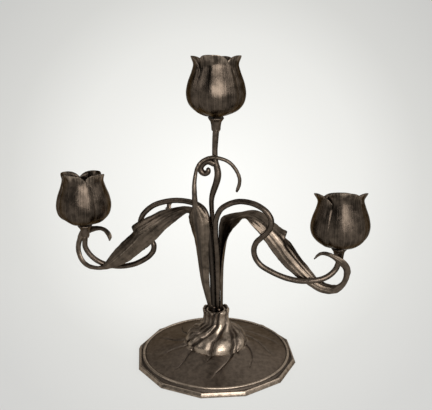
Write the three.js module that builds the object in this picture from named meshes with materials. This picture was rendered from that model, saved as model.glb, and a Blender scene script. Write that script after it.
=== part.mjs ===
import * as THREE from 'three';

// Three-light tulip candelabra in dark patinated metal.
// Millimetres, +Z up. The origin is where the foot's axis meets the table. The two arms lie along X,
// and the front leaf with its loop tendril faces -Y.
// Heights in the plant's outlines are measured from the top of the foot's collar.

// Gap kept between two pieces that touch on the real object
const SEAT_GAP = 0.3;

// Foot casting
const FOOT_SIDES = 12;
const FOOT_CORNER_RADIUS = 79;
const FOOT_TURN = -85;
const FOOT_EDGE_HEIGHT = 4.6;
const FOOT_EDGE_DRAFT = 1.4;
const FOOT_WALL = 3.2;
const COLUMNS_PER_SIDE = 3;
const DISC_RADIUS = 72.4;
const DISC_BEAD_HEIGHT = 3;
const DISC_BEAD_WIDTH = 2.8;
const MOUND_RADIUS = 30;
const MOUND_FOOT_HEIGHT = 17;
const MOUND_SHOULDER_RADIUS = 24;
const MOUND_SHOULDER_HEIGHT = 28.5;
const MOUND_NECK_HEIGHT = 40;
const MOUND_FLUTE_DEPTH = 2;
const MOUND_SWIRL = 52;
const MOUND_STEPS = 9;
const COLLAR_TOP = 53;
const COLLAR_RADIUS = 12.5;
const COLLAR_WALL = 1.9;
const COLLAR_SOCKET_DEPTH = 17;
const COLLAR_FLOOR = 5;

// Felt under the foot
const FELT_RADIUS = 73.6;
const FELT_THICKNESS = 1.5;

// Tie stud that draws the ferrule into the collar
const STUD_RADIUS = 3;
const STUD_BELOW_FLOOR = 11;
const WASHER_RADIUS = 8;
const WASHER_THICKNESS = 1.3;
const NUT_ACROSS_CORNERS = 11.5;
const NUT_THICKNESS = 5;

// Ferrule and the bundle of roots that it grips
const FERRULE_RIM = 1.3;
const FERRULE_BELOW_COLLAR = 2.4;
const BUNDLE_DEPTH = 7.5;
const BUNDLE_STEM_RADIUS = 2.3;
const LEAF_THICKNESS = 1.4;
const LEAF_EDGE_THICKNESS = 0.9;

// Tulips
const PETALS = 4;
const PETAL_HALF_ANGLE = 62;
const PETAL_ROOT_HALF_ANGLE = 43;
const PETAL_THICKNESS = 1.3;
const PETAL_TIP_DROP = 0.21;
const PETAL_LAP_GAP = 0.85;
const PETAL_ROOT_RADIUS = 5;
const PETAL_ROOT_SHARE = 0.055;
const TULIP_BELLY_RADIUS = 25.6;
const TULIP_NECK_RADIUS = 19.8;
const TULIP_TIP_RADIUS = 22.6;
const MOUTH_FRONT = -75;
const MOUTH_TILT_START = 0.35;
const TOP_TULIP_HEIGHT = 56;
const SIDE_TULIP_HEIGHT = 52;
const RECEPTACLE_LENGTH = 10;
const RECEPTACLE_NECK_RADIUS = 4.1;
const RECEPTACLE_DISH_RADIUS = 7.2;
const RECEPTACLE_BORE_END = -4.2;
const RECEPTACLE_VENT_RADIUS = 1.5;
const CANDLE_DIAMETER = 22;
const CANDLE_CLEARANCE = 0.3;
const CANDLE_CUP_DEPTH = 22;
const CANDLE_CUP_WALL = 1.2;
const CANDLE_CUP_FLOOR = 2.2;
const CANDLE_CUP_LIFT = 9.4;
const CANDLE_CUP_STUB_RADIUS = 3;

// Stems
const STEM_TOP_RADIUS = 2.9;
const ARM_STEM_RADIUS = 2.65;
const TENDRIL_RADIUS = 1.7;
const TENDRIL_NECK_RADIUS = 2.6;
const SCROLL_RADIUS = 2.9;
const BRIDGE_X = -48.8;
const BRIDGE_HALF_WIDTH = 3;
const BRIDGE_HALF_DEPTH = 1.3;
const BRIDGE_WAIST = 0.75;

// Where the tulips stand: distance from the foot's axis, and height above the collar. The petals reach
// higher at the front of each mouth by its frontRise, and less high at the back by its backDrop.
const TOP_CUP = { x: 0, z: 187, turn: -86, height: TOP_TULIP_HEIGHT, frontRise: 0, backDrop: 0 };
const RIGHT_CUP = { x: 116, z: 73, turn: -78, height: SIDE_TULIP_HEIGHT, frontRise: 7.5, backDrop: 3.5 };
const LEFT_CUP = { x: -134, z: 72, turn: -12, height: SIDE_TULIP_HEIGHT, frontRise: 6.5, backDrop: 0 };

const METALS = {
  bronze: { color: 0x4a3f34, roughness: 0.42, metalness: 0.85 },
  castBronze: { color: 0x463c33, roughness: 0.5, metalness: 0.8 },
  wornBronze: { color: 0x5a4c3d, roughness: 0.38, metalness: 0.85 },
  socketBrass: { color: 0x54472f, roughness: 0.5, metalness: 0.8 },
  steel: { color: 0x5b5a57, roughness: 0.5, metalness: 0.8 },
  felt: { color: 0x2b3128, roughness: 0.95, metalness: 0 },
};

const candelabra = new THREE.Group();
const plant = new THREE.Group();
plant.position.z = COLLAR_TOP;
candelabra.add(plant);

const radians = (degrees) => THREE.MathUtils.degToRad(degrees);
const mix = (a, b, t) => a + (b - a) * t;

function addPiece(parent, name, geometry, metal) {
  const material = new THREE.MeshStandardMaterial(METALS[metal]);
  const mesh = new THREE.Mesh(geometry, material);
  mesh.name = name;
  parent.add(mesh);
  return mesh;
}

// Closed body from rings of equal, even point count. Each end is capped by a strip between the two halves
// of its ring, so a curved section stays filled and no more, or the two ends are joined to each other.
function loftRings(rings, joinEnds = false) {
  const count = rings[0].length;
  const points = rings.flat();
  const triangles = [];
  const spans = joinEnds ? rings.length : rings.length - 1;
  for (let i = 0; i < spans; i++) {
    const here = i * count;
    const next = ((i + 1) % rings.length) * count;
    for (let j = 0; j < count; j++) {
      const k = (j + 1) % count;
      triangles.push([here + j, here + k, next + k], [here + j, next + k, next + j]);
    }
  }
  if (!joinEnds) {
    const end = (rings.length - 1) * count;
    for (let j = 0; j < count / 2 - 1; j++) {
      const k = count - 1 - j;
      triangles.push([j, k, k - 1], [j, k - 1, j + 1]);
      triangles.push([end + j, end + k - 1, end + k], [end + j, end + j + 1, end + k - 1]);
    }
  }
  return closedGeometry(points, triangles);
}

// Geometry whose faces point out, whichever way the rings ran
function closedGeometry(points, triangles) {
  let volume = 0;
  for (const [a, b, c] of triangles) {
    volume += points[a].dot(new THREE.Vector3().crossVectors(points[b], points[c]));
  }
  const index = triangles.flatMap(([a, b, c]) => (volume > 0 ? [a, b, c] : [a, c, b]));
  const geometry = new THREE.BufferGeometry().setFromPoints(points);
  geometry.setIndex(index);
  return geometry;
}

// Ring about the Z axis
function circle(radius, height, segments) {
  return Array.from({ length: segments }, (_, i) => {
    const angle = (2 * Math.PI * i) / segments;
    return new THREE.Vector3(radius * Math.cos(angle), radius * Math.sin(angle), height);
  });
}

// Turned body from a profile of [radius, height]. A profile with a bore closes on itself.
function turned(profile, segments, bored = false) {
  return loftRings(profile.map(([radius, height]) => circle(radius, height, segments)), bored);
}

// Round rod along a smooth path, with its own radius at each point of the path
function rod(path, radii, sides, stepsPerSpan) {
  const curve = new THREE.CatmullRomCurve3(path, false, 'centripetal');
  const radiusAt = (t) => {
    const place = t * (radii.length - 1);
    const i = Math.min(Math.floor(place), radii.length - 2);
    return mix(radii[i], radii[i + 1], place - i);
  };
  const steps = (path.length - 1) * stepsPerSpan;
  const normal = new THREE.Vector3(0, -1, 0);
  const rings = [];
  for (let i = 0; i <= steps; i++) {
    const t = i / steps;
    const tangent = curve.getTangent(t);
    normal.addScaledVector(tangent, -normal.dot(tangent)).normalize();
    const side = new THREE.Vector3().crossVectors(tangent, normal);
    const centre = curve.getPoint(t);
    rings.push(Array.from({ length: sides }, (_, j) => {
      const angle = (2 * Math.PI * j) / sides;
      return centre.clone()
        .addScaledVector(side, radiusAt(t) * Math.cos(angle))
        .addScaledVector(normal, radiusAt(t) * Math.sin(angle));
    }));
  }
  return rings;
}

// Blade of sheet metal between two edges. Each station is [edge A, edge B, bulge of the middle].
const BLADE_STEPS_ACROSS = 6;

function bladeRings(stations, stepsPerSpan) {
  const edgeA = new THREE.CatmullRomCurve3(stations.map(([a]) => a), false, 'centripetal');
  const edgeB = new THREE.CatmullRomCurve3(stations.map(([, b]) => b), false, 'centripetal');
  const steps = (stations.length - 1) * stepsPerSpan;
  const middle = (t) => edgeA.getPoint(t).lerp(edgeB.getPoint(t), 0.5);
  const reach = 0.5 / steps;
  const rings = [];
  for (let i = 0; i <= steps; i++) {
    const t = i / steps;
    const a = edgeA.getPoint(t);
    const b = edgeB.getPoint(t);
    const along = middle(Math.min(1, t + reach)).sub(middle(Math.max(0, t - reach)));
    const face = b.clone().sub(a).cross(along).normalize();
    const station = Math.min(Math.floor(t * (stations.length - 1)), stations.length - 2);
    const share = t * (stations.length - 1) - station;
    const bulge = mix(stations[station][2], stations[station + 1][2], share);
    rings.push(bladeSection(a, b, face, bulge));
  }
  return rings;
}

// One section of a blade: out along one face and back along the other
function bladeSection(a, b, face, bulge) {
  const outer = [];
  const inner = [];
  for (let j = 0; j <= BLADE_STEPS_ACROSS; j++) {
    const across = (2 * j) / BLADE_STEPS_ACROSS - 1;
    const rise = bulge * (1 - across * across);
    const thickness = mix(LEAF_THICKNESS, LEAF_EDGE_THICKNESS, across * across);
    const centre = a.clone().lerp(b, j / BLADE_STEPS_ACROSS).addScaledVector(face, rise);
    outer.push(centre.clone().addScaledVector(face, thickness / 2));
    inner.unshift(centre.clone().addScaledVector(face, -thickness / 2));
  }
  return [...outer, ...inner];
}

const point = ([x, y, z]) => new THREE.Vector3(x, y, z);
const fromCup = (cup) => ([x, y, z]) => new THREE.Vector3(cup.x + x, y, cup.z + z);

function joinedPath(rootPoints, cup, cupPoints) {
  return [...rootPoints.map(point), ...cupPoints.map(fromCup(cup))];
}

// Outline of the mound from the disc up to its neck: points of [radius, height]
function moundOutline() {
  const outline = new THREE.CatmullRomCurve3([
    [MOUND_RADIUS, 0, MOUND_FOOT_HEIGHT],
    [MOUND_RADIUS - 1.4, 0, mix(MOUND_FOOT_HEIGHT, MOUND_SHOULDER_HEIGHT, 0.45)],
    [MOUND_SHOULDER_RADIUS, 0, MOUND_SHOULDER_HEIGHT],
    [mix(MOUND_SHOULDER_RADIUS, COLLAR_RADIUS, 0.65), 0, mix(MOUND_SHOULDER_HEIGHT, MOUND_NECK_HEIGHT, 0.38)],
    [COLLAR_RADIUS + 0.6, 0, MOUND_NECK_HEIGHT],
  ].map(point));
  return outline.getPoints(MOUND_STEPS).map(({ x, z }) => [x, z]);
}

// Foot: a polygon plate, a round disc with a bead, and a fluted mound that swirls up to the collar
function footGeometry() {
  const columns = FOOT_SIDES * COLUMNS_PER_SIDE;
  const sideAngle = (2 * Math.PI) / FOOT_SIDES;
  const collarBore = COLLAR_RADIUS - COLLAR_WALL;
  const socketFloor = COLLAR_TOP - COLLAR_SOCKET_DEPTH;
  const floorUnderside = socketFloor - COLLAR_FLOOR;
  const studBore = STUD_RADIUS + SEAT_GAP;
  const feltSeat = FELT_THICKNESS + SEAT_GAP;
  const feltWall = FELT_RADIUS + SEAT_GAP;
  const beadInner = DISC_RADIUS - DISC_BEAD_WIDTH;
  const beadTop = FOOT_EDGE_HEIGHT + DISC_BEAD_HEIGHT;

  // Each ring: radius, height, then whether it follows the polygon and how much flute and swirl it has
  const rings = [];
  const ring = (radius, height, options = {}) => {
    const { polygon = 0, flute = 0, swirl = 0 } = options;
    rings.push(Array.from({ length: columns }, (_, i) => {
      const offset = ((i % COLUMNS_PER_SIDE) / COLUMNS_PER_SIDE) * sideAngle - sideAngle / 2;
      const corner = Math.cos(sideAngle / 2) / Math.cos(offset);
      const crest = i % 2 === 0 ? 1 : -1;
      const r = radius * mix(1, corner, polygon) + flute * MOUND_FLUTE_DEPTH * 0.5 * crest;
      const angle = radians(FOOT_TURN + swirl * MOUND_SWIRL) + (2 * Math.PI * i) / columns;
      return new THREE.Vector3(r * Math.cos(angle), r * Math.sin(angle), height);
    }));
  };

  ring(FOOT_CORNER_RADIUS, 0, { polygon: 1 });
  ring(FOOT_CORNER_RADIUS - FOOT_EDGE_DRAFT, FOOT_EDGE_HEIGHT, { polygon: 1 });
  ring(DISC_RADIUS + 0.8, FOOT_EDGE_HEIGHT - 0.4);
  ring(DISC_RADIUS, beadTop - 1.4);
  ring(DISC_RADIUS - DISC_BEAD_WIDTH / 2, beadTop);
  ring(beadInner, beadTop - 0.8);
  ring(mix(beadInner, MOUND_RADIUS, 0.5), mix(beadTop, MOUND_FOOT_HEIGHT, 0.42));

  // The mound: bulging lobes at the disc, drawn in to the neck and twisting as they rise
  const mound = moundOutline();
  mound.forEach(([radius, height], i) => {
    const rise = i / MOUND_STEPS;
    ring(radius, height, { flute: Math.sin(Math.PI * mix(0.15, 0.88, rise)), swirl: rise });
  });
  ring(COLLAR_RADIUS, COLLAR_TOP, { flute: 0.4, swirl: 1 });
  ring(collarBore, COLLAR_TOP, { flute: 0.2, swirl: 1 });
  ring(collarBore, COLLAR_TOP - FERRULE_BELOW_COLLAR, { swirl: 1 });
  ring(collarBore, socketFloor, { swirl: 1 });
  ring(studBore, socketFloor, { swirl: 1 });
  ring(studBore, floorUnderside, { swirl: 1 });
  ring(WASHER_RADIUS + 1, floorUnderside, { swirl: 1 });

  // The hollow underside follows the mound at the casting's wall thickness
  const hollowTop = floorUnderside - 1;
  for (let i = MOUND_STEPS; i >= 0; i--) {
    const [radius, height] = mound[i];
    if (height - FOOT_WALL < hollowTop && radius - FOOT_WALL > WASHER_RADIUS + 2) {
      ring(radius - FOOT_WALL, height - FOOT_WALL, { swirl: i / MOUND_STEPS });
    }
  }
  ring(mix(beadInner, MOUND_RADIUS, 0.5), mix(beadTop, MOUND_FOOT_HEIGHT, 0.42) - FOOT_WALL);
  ring(FELT_RADIUS - 2, FOOT_EDGE_HEIGHT - 1.6);
  ring(FELT_RADIUS - 2, feltSeat);
  ring(feltWall, feltSeat);
  ring(feltWall, 0);
  return loftRings(rings, true);
}

function addFoot() {
  const socketFloor = COLLAR_TOP - COLLAR_SOCKET_DEPTH;
  const floorUnderside = socketFloor - COLLAR_FLOOR;
  addPiece(candelabra, 'foot', footGeometry(), 'castBronze');

  addPiece(candelabra, 'base_felt', turned([[FELT_RADIUS, 0], [FELT_RADIUS, FELT_THICKNESS]], 36), 'felt');

  const bore = STUD_RADIUS + SEAT_GAP;
  const studTop = COLLAR_TOP - FERRULE_BELOW_COLLAR - BUNDLE_DEPTH - 2 * SEAT_GAP - 2;
  const stud = [[STUD_RADIUS, floorUnderside - STUD_BELOW_FLOOR], [STUD_RADIUS, studTop]];
  addPiece(candelabra, 'tie_stud', turned(stud, 12), 'steel');

  const washerTop = floorUnderside - SEAT_GAP;
  const washerBottom = washerTop - WASHER_THICKNESS;
  const washer = [
    [bore, washerBottom],
    [WASHER_RADIUS, washerBottom],
    [WASHER_RADIUS, washerTop],
    [bore, washerTop],
  ];
  addPiece(candelabra, 'tie_washer', turned(washer, 18, true), 'steel');

  const nutTop = washerBottom - SEAT_GAP;
  const nutBottom = nutTop - NUT_THICKNESS;
  const nutRadius = NUT_ACROSS_CORNERS / 2;
  const nutBore = bore / Math.cos(Math.PI / 6);
  const nut = [[nutBore, nutBottom], [nutRadius, nutBottom], [nutRadius, nutTop], [nutBore, nutTop]];
  addPiece(candelabra, 'tie_nut', turned(nut, 6, true), 'steel');
}

// Root slots: three stems packed side by side, with the leaves wrapped round them
const slotRadius = (2 * BUNDLE_STEM_RADIUS + SEAT_GAP) / Math.sqrt(3);
const leafRootRadius = slotRadius + BUNDLE_STEM_RADIUS + SEAT_GAP + LEAF_THICKNESS / 2;
const rootLevel = -FERRULE_BELOW_COLLAR - BUNDLE_DEPTH;

function onRootCircle(radius, angle, height) {
  return [radius * Math.cos(radians(angle)), radius * Math.sin(radians(angle)), height];
}

function addFerrule() {
  const outer = COLLAR_RADIUS - COLLAR_WALL - SEAT_GAP;
  const bundleBore = leafRootRadius + LEAF_THICKNESS / 2 + SEAT_GAP + 0.2;
  const bottom = -COLLAR_SOCKET_DEPTH + SEAT_GAP;
  const studBore = STUD_RADIUS + SEAT_GAP;
  const webTop = rootLevel - SEAT_GAP;
  const webBottom = webTop - 2;
  const profile = [
    [studBore, bottom],
    [outer, bottom],
    [outer, -FERRULE_BELOW_COLLAR],
    [bundleBore + FERRULE_RIM, -FERRULE_BELOW_COLLAR + 1.2],
    [bundleBore, -FERRULE_BELOW_COLLAR],
    [bundleBore, webTop],
    [1.2, webTop],
    [1.2, webBottom],
    [studBore, webBottom],
  ];
  addPiece(plant, 'bundle_ferrule', turned(profile, 24, true), 'wornBronze');
}

// Centre stem: an S bend up out of the bundle, then straight into the top tulip
const centreStemPath = joinedPath(
  [
    onRootCircle(slotRadius, 90, rootLevel),
    onRootCircle(slotRadius, 90, 2),
    [-0.5, 3, 27],
    [-1.5, 2.6, 57],
    [-3, 1.6, 80],
    [-4, 1, 95],
    [-4.5, 0.5, 107],
    [-4, 0, 112.5],
    [-2.5, 0, 118.5],
    [-0.3, 0, 125],
    [1.3, 0, 131],
    [1.8, 0, 136],
    [1, 0, 141.5],
    [-0.4, 0, 147],
    [-1, 0, 153],
    [-1, 0, 160],
  ],
  TOP_CUP,
  [[-0.5, 0, -18], [0, 0, -RECEPTACLE_LENGTH], [0, 0, -5]],
);
const centreStemRadii = [2.3, 2.3, 2.25, 2.25, 2.25, 2.25, 2.3, 2.5, 2.9, 3.1, 3.25, 3.2, 3, 2.75, 2.6, 2.6]
  .concat([STEM_TOP_RADIUS, STEM_TOP_RADIUS, STEM_TOP_RADIUS]);

const rightStemPath = joinedPath(
  [
    onRootCircle(slotRadius, -30, rootLevel),
    onRootCircle(slotRadius, -30, 2),
    [2.3, -2.6, 30],
    [1.8, -4, 60],
    [1, -5.6, 80],
    [2, -6.8, 94],
    [6.5, -7, 104],
    [14, -6, 109.5],
    [24, -5, 112.5],
    [36, -6, 112],
    [44.5, -7, 109],
    [50.5, -8, 104.8],
    [54.3, -8.5, 98.5],
    [54, -9, 92],
    [50.5, -9, 85.7],
    [45.5, -8.8, 80.5],
    [41, -8.5, 75.5],
    [38.5, -8, 68],
    [40, -8, 60],
    [46, -8, 52.5],
    [56, -8.5, 47.5],
    [65.5, -8.5, 44],
    [75, -8.5, 42],
    [84.5, -8.5, 41.5],
  ],
  RIGHT_CUP,
  [
    [-22, -7.8, -30.3],
    [-13, -5.6, -28.3],
    [-6.6, -2.6, -24.8],
    [-2, -0.5, -19.5],
    [0, 0, -13],
    [0, 0, -9],
    [0, 0, -5],
  ],
);

const leftStemPath = joinedPath(
  [
    onRootCircle(slotRadius, -150, rootLevel),
    onRootCircle(slotRadius, -150, 2),
    [-3, -2, 30],
    [-4.2, -2.8, 55],
    [-5.5, -3.4, 73],
    [-6.6, -3.4, 85],
    [-8.3, -2.3, 94.5],
    [-12, -0.4, 100.5],
    [-17.5, 1.3, 103.5],
    [-24.5, 3, 105],
    [-34.5, 5, 105.3],
    [-44.5, 7, 104],
    [-55.5, 8, 101],
    [-64.5, 8.3, 97],
    [-72, 8.7, 91],
    [-77, 9, 84.5],
    [-78.8, 8.4, 76.5],
    [-75, 7, 68],
    [-68, 5.4, 62.7],
    [-64.2, 4.6, 58],
    [-64.5, 4.4, 52],
    [-68.5, 4.4, 46],
    [-76, 4.8, 40],
    [-86, 5.2, 34.5],
    [-97, 6, 31],
  ],
  LEFT_CUP,
  [
    [26.5, 6.7, -42.3],
    [19, 6.2, -41.5],
    [12, 4.5, -38.7],
    [6.5, 2.2, -34],
    [2, 0.6, -28],
    [-1, 0, -21.5],
    [-0.8, 0, -15],
    [0, 0, -9],
    [0, 0, -5],
  ],
);

// Arm stems are a little thinner in the bundle than along the arm
function armStemRadii(path) {
  const drawnIn = 3;
  return path.map((_, i) => (i < drawnIn ? BUNDLE_STEM_RADIUS : ARM_STEM_RADIUS));
}

function addStems() {
  addPiece(plant, 'centre_stem', loftRings(rod(centreStemPath, centreStemRadii, 8, 1)), 'bronze');
  for (const [name, path] of [['right_stem', rightStemPath], ['left_stem', leftStemPath]]) {
    addPiece(plant, name, loftRings(rod(path, armStemRadii(path), 8, 2)), 'bronze');
  }

  // Scroll: springs from the S bend, arches over and winds in to its tip
  const scrollPath = [
    [-4.2, -0.8, 146.9],
    [-7.5, -1, 147.6],
    [-12, -1, 145.2],
    [-14.6, -1, 140.6],
    [-13.4, -1, 136],
    [-9.8, -1, 134.4],
    [-6.4, -1, 136.6],
    [-6.6, -1, 140],
    [-9, -1, 141],
  ].map(point);
  const scrollShares = [1, 1, 1, 0.95, 0.9, 0.83, 0.75, 0.65, 0.5];
  const scrollRadii = scrollShares.map((share) => share * SCROLL_RADIUS);
  addPiece(plant, 'stem_scroll', loftRings(rod(scrollPath, scrollRadii, 8, 2)), 'bronze');
}

// Stations of a leaf: [edge A, edge B, bulge]. The first part is measured from the foot's axis and the
// collar, the last part from the foot of the tulip that the leaf curls under.
function leafStations(rootPart, cup, cupPart) {
  const fromRoot = rootPart.map(([a, b, bulge]) => [point(a), point(b), bulge]);
  const nearCup = cupPart.map(([a, b, bulge]) => [fromCup(cup)(a), fromCup(cup)(b), bulge]);
  return [...fromRoot, ...nearCup];
}

const rightLeafStations = leafStations(
  [
    [onRootCircle(leafRootRadius, -35, rootLevel), onRootCircle(leafRootRadius, 57, rootLevel), 1.8],
    [onRootCircle(leafRootRadius, -35, -2), onRootCircle(leafRootRadius, 57, -2), 1.8],
    [onRootCircle(leafRootRadius + 0.3, -33, 6), onRootCircle(leafRootRadius + 0.3, 58, 6), 1.9],
    [[4.9, -0.5, 40], [1, 7.7, 38], 2.4],
    [[10, -3.4, 69], [0, 9, 66], 3.2],
    [[15.8, -5, 82.4], [0.6, 9.6, 84.5], 3.2],
    [[19.5, -5.6, 87.5], [3.4, 10.6, 91], 2.4],
    [[23, -6, 91.6], [10, 11, 94.2], 1.6],
    [[28.4, -6, 97.4], [22, 10.4, 97.4], 0.4],
    [[35.5, -5.2, 90.5], [36, 8.8, 101], -1.4],
    [[43, -5, 82.5], [47, 7.5, 97.5], -2.6],
    [[48.5, -5, 75.5], [55.5, 6.5, 90.5], -3.2],
    [[54, -5, 68], [61.5, 6, 86.3], -3.4],
    [[59.5, -5, 61], [67, 5.6, 83.4], -3.4],
    [[62.5, -5, 57.6], [64.6, 5, 79.3], -3.4],
    [[67, -5, 52.8], [71.5, 4, 73], -3.2],
    [[74.5, -4.8, 46.6], [79, 3, 62.5], -2.8],
    [[82, -4.4, 40.8], [88, 2, 52.5], -2.2],
  ],
  RIGHT_CUP,
  [
    [[-26.5, -4, -36.8], [-19, 1.2, -30.6], -1.6],
    [[-17.5, -4, -42], [-12.5, 1, -34.2], -1.4],
    [[-7.5, -4, -43.7], [-5.5, 1, -36], -1.3],
    [[1.5, -4, -41], [0, 0.5, -35], -1.2],
    [[7.5, -4, -34], [3.8, 0, -31.2], -1.1],
    [[11, -4.6, -25], [5.5, -1.5, -24.5], -1.1],
    [[12, -6, -17], [5, -4.4, -17.5], -1],
    [[9.5, -8, -10], [2.5, -7.6, -13], -0.9],
    [[4.5, -9, -5.2], [-1, -8.8, -9.4], -0.9],
    [[-3.5, -9, -1.8], [-7, -8, -5.6], -0.8],
    [[-10.5, -7.6, -0.6], [-12, -7.6, -4.4], -0.7],
    [[-16, -6.2, -2], [-15, -6.4, -5], -0.6],
    [[-19.7, -5.2, -5.4], [-18, -5.5, -7.2], -0.4],
    [[-22, -5, -9.6], [-20.8, -5, -10], -0.2],
  ],
);

const leftLeafStations = leafStations(
  [
    [onRootCircle(leafRootRadius, 154, rootLevel), onRootCircle(leafRootRadius, 70, rootLevel), -1.7],
    [onRootCircle(leafRootRadius, 154, -2), onRootCircle(leafRootRadius, 70, -2), -1.7],
    [onRootCircle(leafRootRadius + 1, 156, 6), onRootCircle(leafRootRadius + 1, 71, 6), -2],
    [[-8, 3.2, 40], [0.5, 9.5, 40], -2.6],
    [[-12, 2.2, 67], [-1.5, 11.5, 65], -3],
    [[-17, 1, 82], [-4.5, 13, 82], -2.8],
    [[-23, 0.2, 91], [-13, 13.5, 91.5], -1.8],
    [[-27.5, -0.6, 95.6], [-23.5, 12, 96.6], -0.4],
    [[-31.5, -1.2, 93], [-34, 9.6, 98.3], 1],
    [[-38.5, -2.2, 86.8], [-44, 8.2, 96.4], 2.2],
    [[-47.5, -3, 79], [-56, 6.8, 93.2], 3],
    [[-58, -3.5, 67.3], [-66.5, 5.6, 87.5], 3.4],
    [[-63, -4, 62], [-77, 4.6, 81.5], 3.4],
    [[-67.5, -4, 57.8], [-86.5, 4.2, 74.4], 3.4],
    [[-71, -4, 55], [-84.6, 3.6, 70.4], 3.4],
    [[-78.5, -4, 48.6], [-92.5, 2.6, 62], 3.2],
    [[-87, -3.2, 41.2], [-101, 2, 53], 2.6],
  ],
  LEFT_CUP,
  [
    [[35.5, -2, -37.5], [25.5, 1, -28.2], 1.8],
    [[26.5, -1, -41.8], [19.5, 0.8, -36.4], 1.4],
    [[17.5, 0.4, -44.8], [13.5, 1.2, -41.2], 1.2],
    [[7.5, 1.6, -46.4], [7, 2, -42], 1.2],
    [[-1, 2.2, -45.4], [-0.2, 2.6, -40.2], 1.1],
    [[-8, 3.2, -41], [-4.6, 3.4, -36.5], 1.1],
    [[-12, 4.2, -34.6], [-7.2, 4.2, -31], 1.1],
    [[-13.6, 4.8, -26], [-8, 4.8, -24.8], 1.1],
    [[-12.2, 6, -17], [-6.6, 6, -18.2], 1],
    [[-9.6, 7, -9.5], [-3.4, 7, -12.8], 1],
    [[-5, 7.8, -4.6], [1.6, 7.8, -9.8], 0.9],
    [[3, 8, -2.4], [6.8, 7.8, -7.4], 0.8],
    [[11, 7.4, -1.2], [12, 7.2, -5.8], 0.7],
    [[18.5, 6, -1.8], [16.8, 6, -6.2], 0.6],
    [[24.3, 4.6, -5.2], [20.4, 4.6, -9.2], 0.5],
    [[26.6, 3.6, -9.8], [22.6, 3.6, -12.4], 0.4],
    [[24.9, 2.8, -13.9], [23.7, 2.8, -14.4], 0.2],
  ],
);

const frontLeafStations = [
  [onRootCircle(leafRootRadius, 163, rootLevel), onRootCircle(leafRootRadius, 250, rootLevel), 1.8],
  [onRootCircle(leafRootRadius, 163, -2), onRootCircle(leafRootRadius, 250, -2), 1.8],
  [onRootCircle(leafRootRadius + 2, 172, 5), onRootCircle(leafRootRadius + 0.6, 246, 6), 2.2],
  [[-13.4, -1, 24], [-4.2, -7, 26], 3.2],
  [[-16, -3, 43], [-4.4, -8, 43], 4],
  [[-17.8, -4, 59], [-4.8, -9, 58], 4.2],
  [[-19.8, -5, 72], [-4.6, -9.2, 73], 4.4],
  [[-22.4, -6, 82], [-3.8, -9.6, 82], 4.6],
  [[-24.4, -6.6, 91], [-3.8, -10, 90], 4.4],
  [[-24.2, -7.4, 96.5], [-6.4, -10.2, 98], 3.4],
  [[-22, -8.8, 100.2], [-9.8, -10.8, 103], 2.4],
  [[-20, -10.6, 105.5], [-13.6, -11.6, 108], 1.6],
].map(([a, b, bulge]) => [point(a), point(b), bulge]);

// The tip of the front leaf runs on as a tendril: up, over in front of the centre stem, and down
const tendrilPath = [
  [-17, -12, 112],
  [-17.3, -12, 120.5],
  [-17.5, -11.2, 128],
  [-17, -10, 135],
  [-16, -9, 141],
  [-13.5, -7.6, 146.5],
  [-9.5, -6.2, 150],
  [-5, -5.3, 152],
  [0.2, -4.9, 152.6],
  [5.5, -4.6, 151.8],
  [11, -4, 150],
  [15.2, -3.6, 147.2],
  [18.7, -3, 143],
  [21.4, -2.6, 138.2],
  [22.9, -2.2, 133],
  [22.6, -2, 127.8],
  [21.2, -2, 123.5],
  [20, -2, 120.2],
].map(point);

// Web of brazing metal between the left stem's arch and the upper edge of the left leaf
function addBridge() {
  const samples = 2000;
  const sides = 10;
  const upperEdge = leftLeafStations.map(([, b]) => b);
  const stem = new THREE.CatmullRomCurve3(leftStemPath, false, 'centripetal').getPoints(samples);
  const edge = new THREE.CatmullRomCurve3(upperEdge, false, 'centripetal').getPoints(samples);
  const closer = (x) => (best, spot) => (Math.abs(spot.x - x) < Math.abs(best.x - x) ? spot : best);
  const rings = [[0, 1], [0.5, BRIDGE_WAIST], [1, 1]].map(([rise, width]) => (
    Array.from({ length: sides }, (_, j) => {
      const angle = (2 * Math.PI * j) / sides;
      const x = BRIDGE_X + BRIDGE_HALF_WIDTH * width * Math.cos(angle);
      const low = edge.reduce(closer(x));
      const high = stem.reduce(closer(x));
      const bottom = low.z + LEAF_EDGE_THICKNESS / 2 + SEAT_GAP;
      const top = high.z - ARM_STEM_RADIUS - SEAT_GAP;
      const y = mix(low.y, high.y, rise) + BRIDGE_HALF_DEPTH * width * Math.sin(angle);
      return new THREE.Vector3(x, y, mix(bottom, top, rise));
    })
  ));
  addPiece(plant, 'stem_bridge', loftRings(rings), 'wornBronze');
}

// Rings of the tendril have as many points as a blade's section, in the same order
function tendrilRings() {
  const curve = new THREE.CatmullRomCurve3(tendrilPath, false, 'centripetal');
  const half = BLADE_STEPS_ACROSS + 1;
  const neckEnd = 0.2;
  const tipStart = 0.93;
  const tipRadius = 0.7;
  const steps = tendrilPath.length - 1;
  const rings = [];
  for (let i = 0; i <= steps; i++) {
    const t = i / steps;
    const tangent = curve.getTangent(t);
    const face = new THREE.Vector3(0, -1, 0);
    face.addScaledVector(tangent, -face.dot(tangent)).normalize();
    const side = new THREE.Vector3().crossVectors(tangent, face);
    const neck = mix(TENDRIL_NECK_RADIUS, TENDRIL_RADIUS, Math.min(1, t / neckEnd));
    const radius = t < tipStart ? neck : mix(neck, tipRadius, (t - tipStart) / (1 - tipStart));
    const centre = curve.getPoint(t);
    const onRing = (angle) => centre.clone()
      .addScaledVector(side, -radius * Math.cos(angle))
      .addScaledVector(face, radius * Math.sin(angle));
    const step = Math.PI / half;
    const outer = Array.from({ length: half }, (_, j) => onRing(step * (j + 0.5)));
    const inner = Array.from({ length: half }, (_, j) => onRing(Math.PI + step * (j + 0.5)));
    rings.push([...outer, ...inner]);
  }
  return rings;
}

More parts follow.
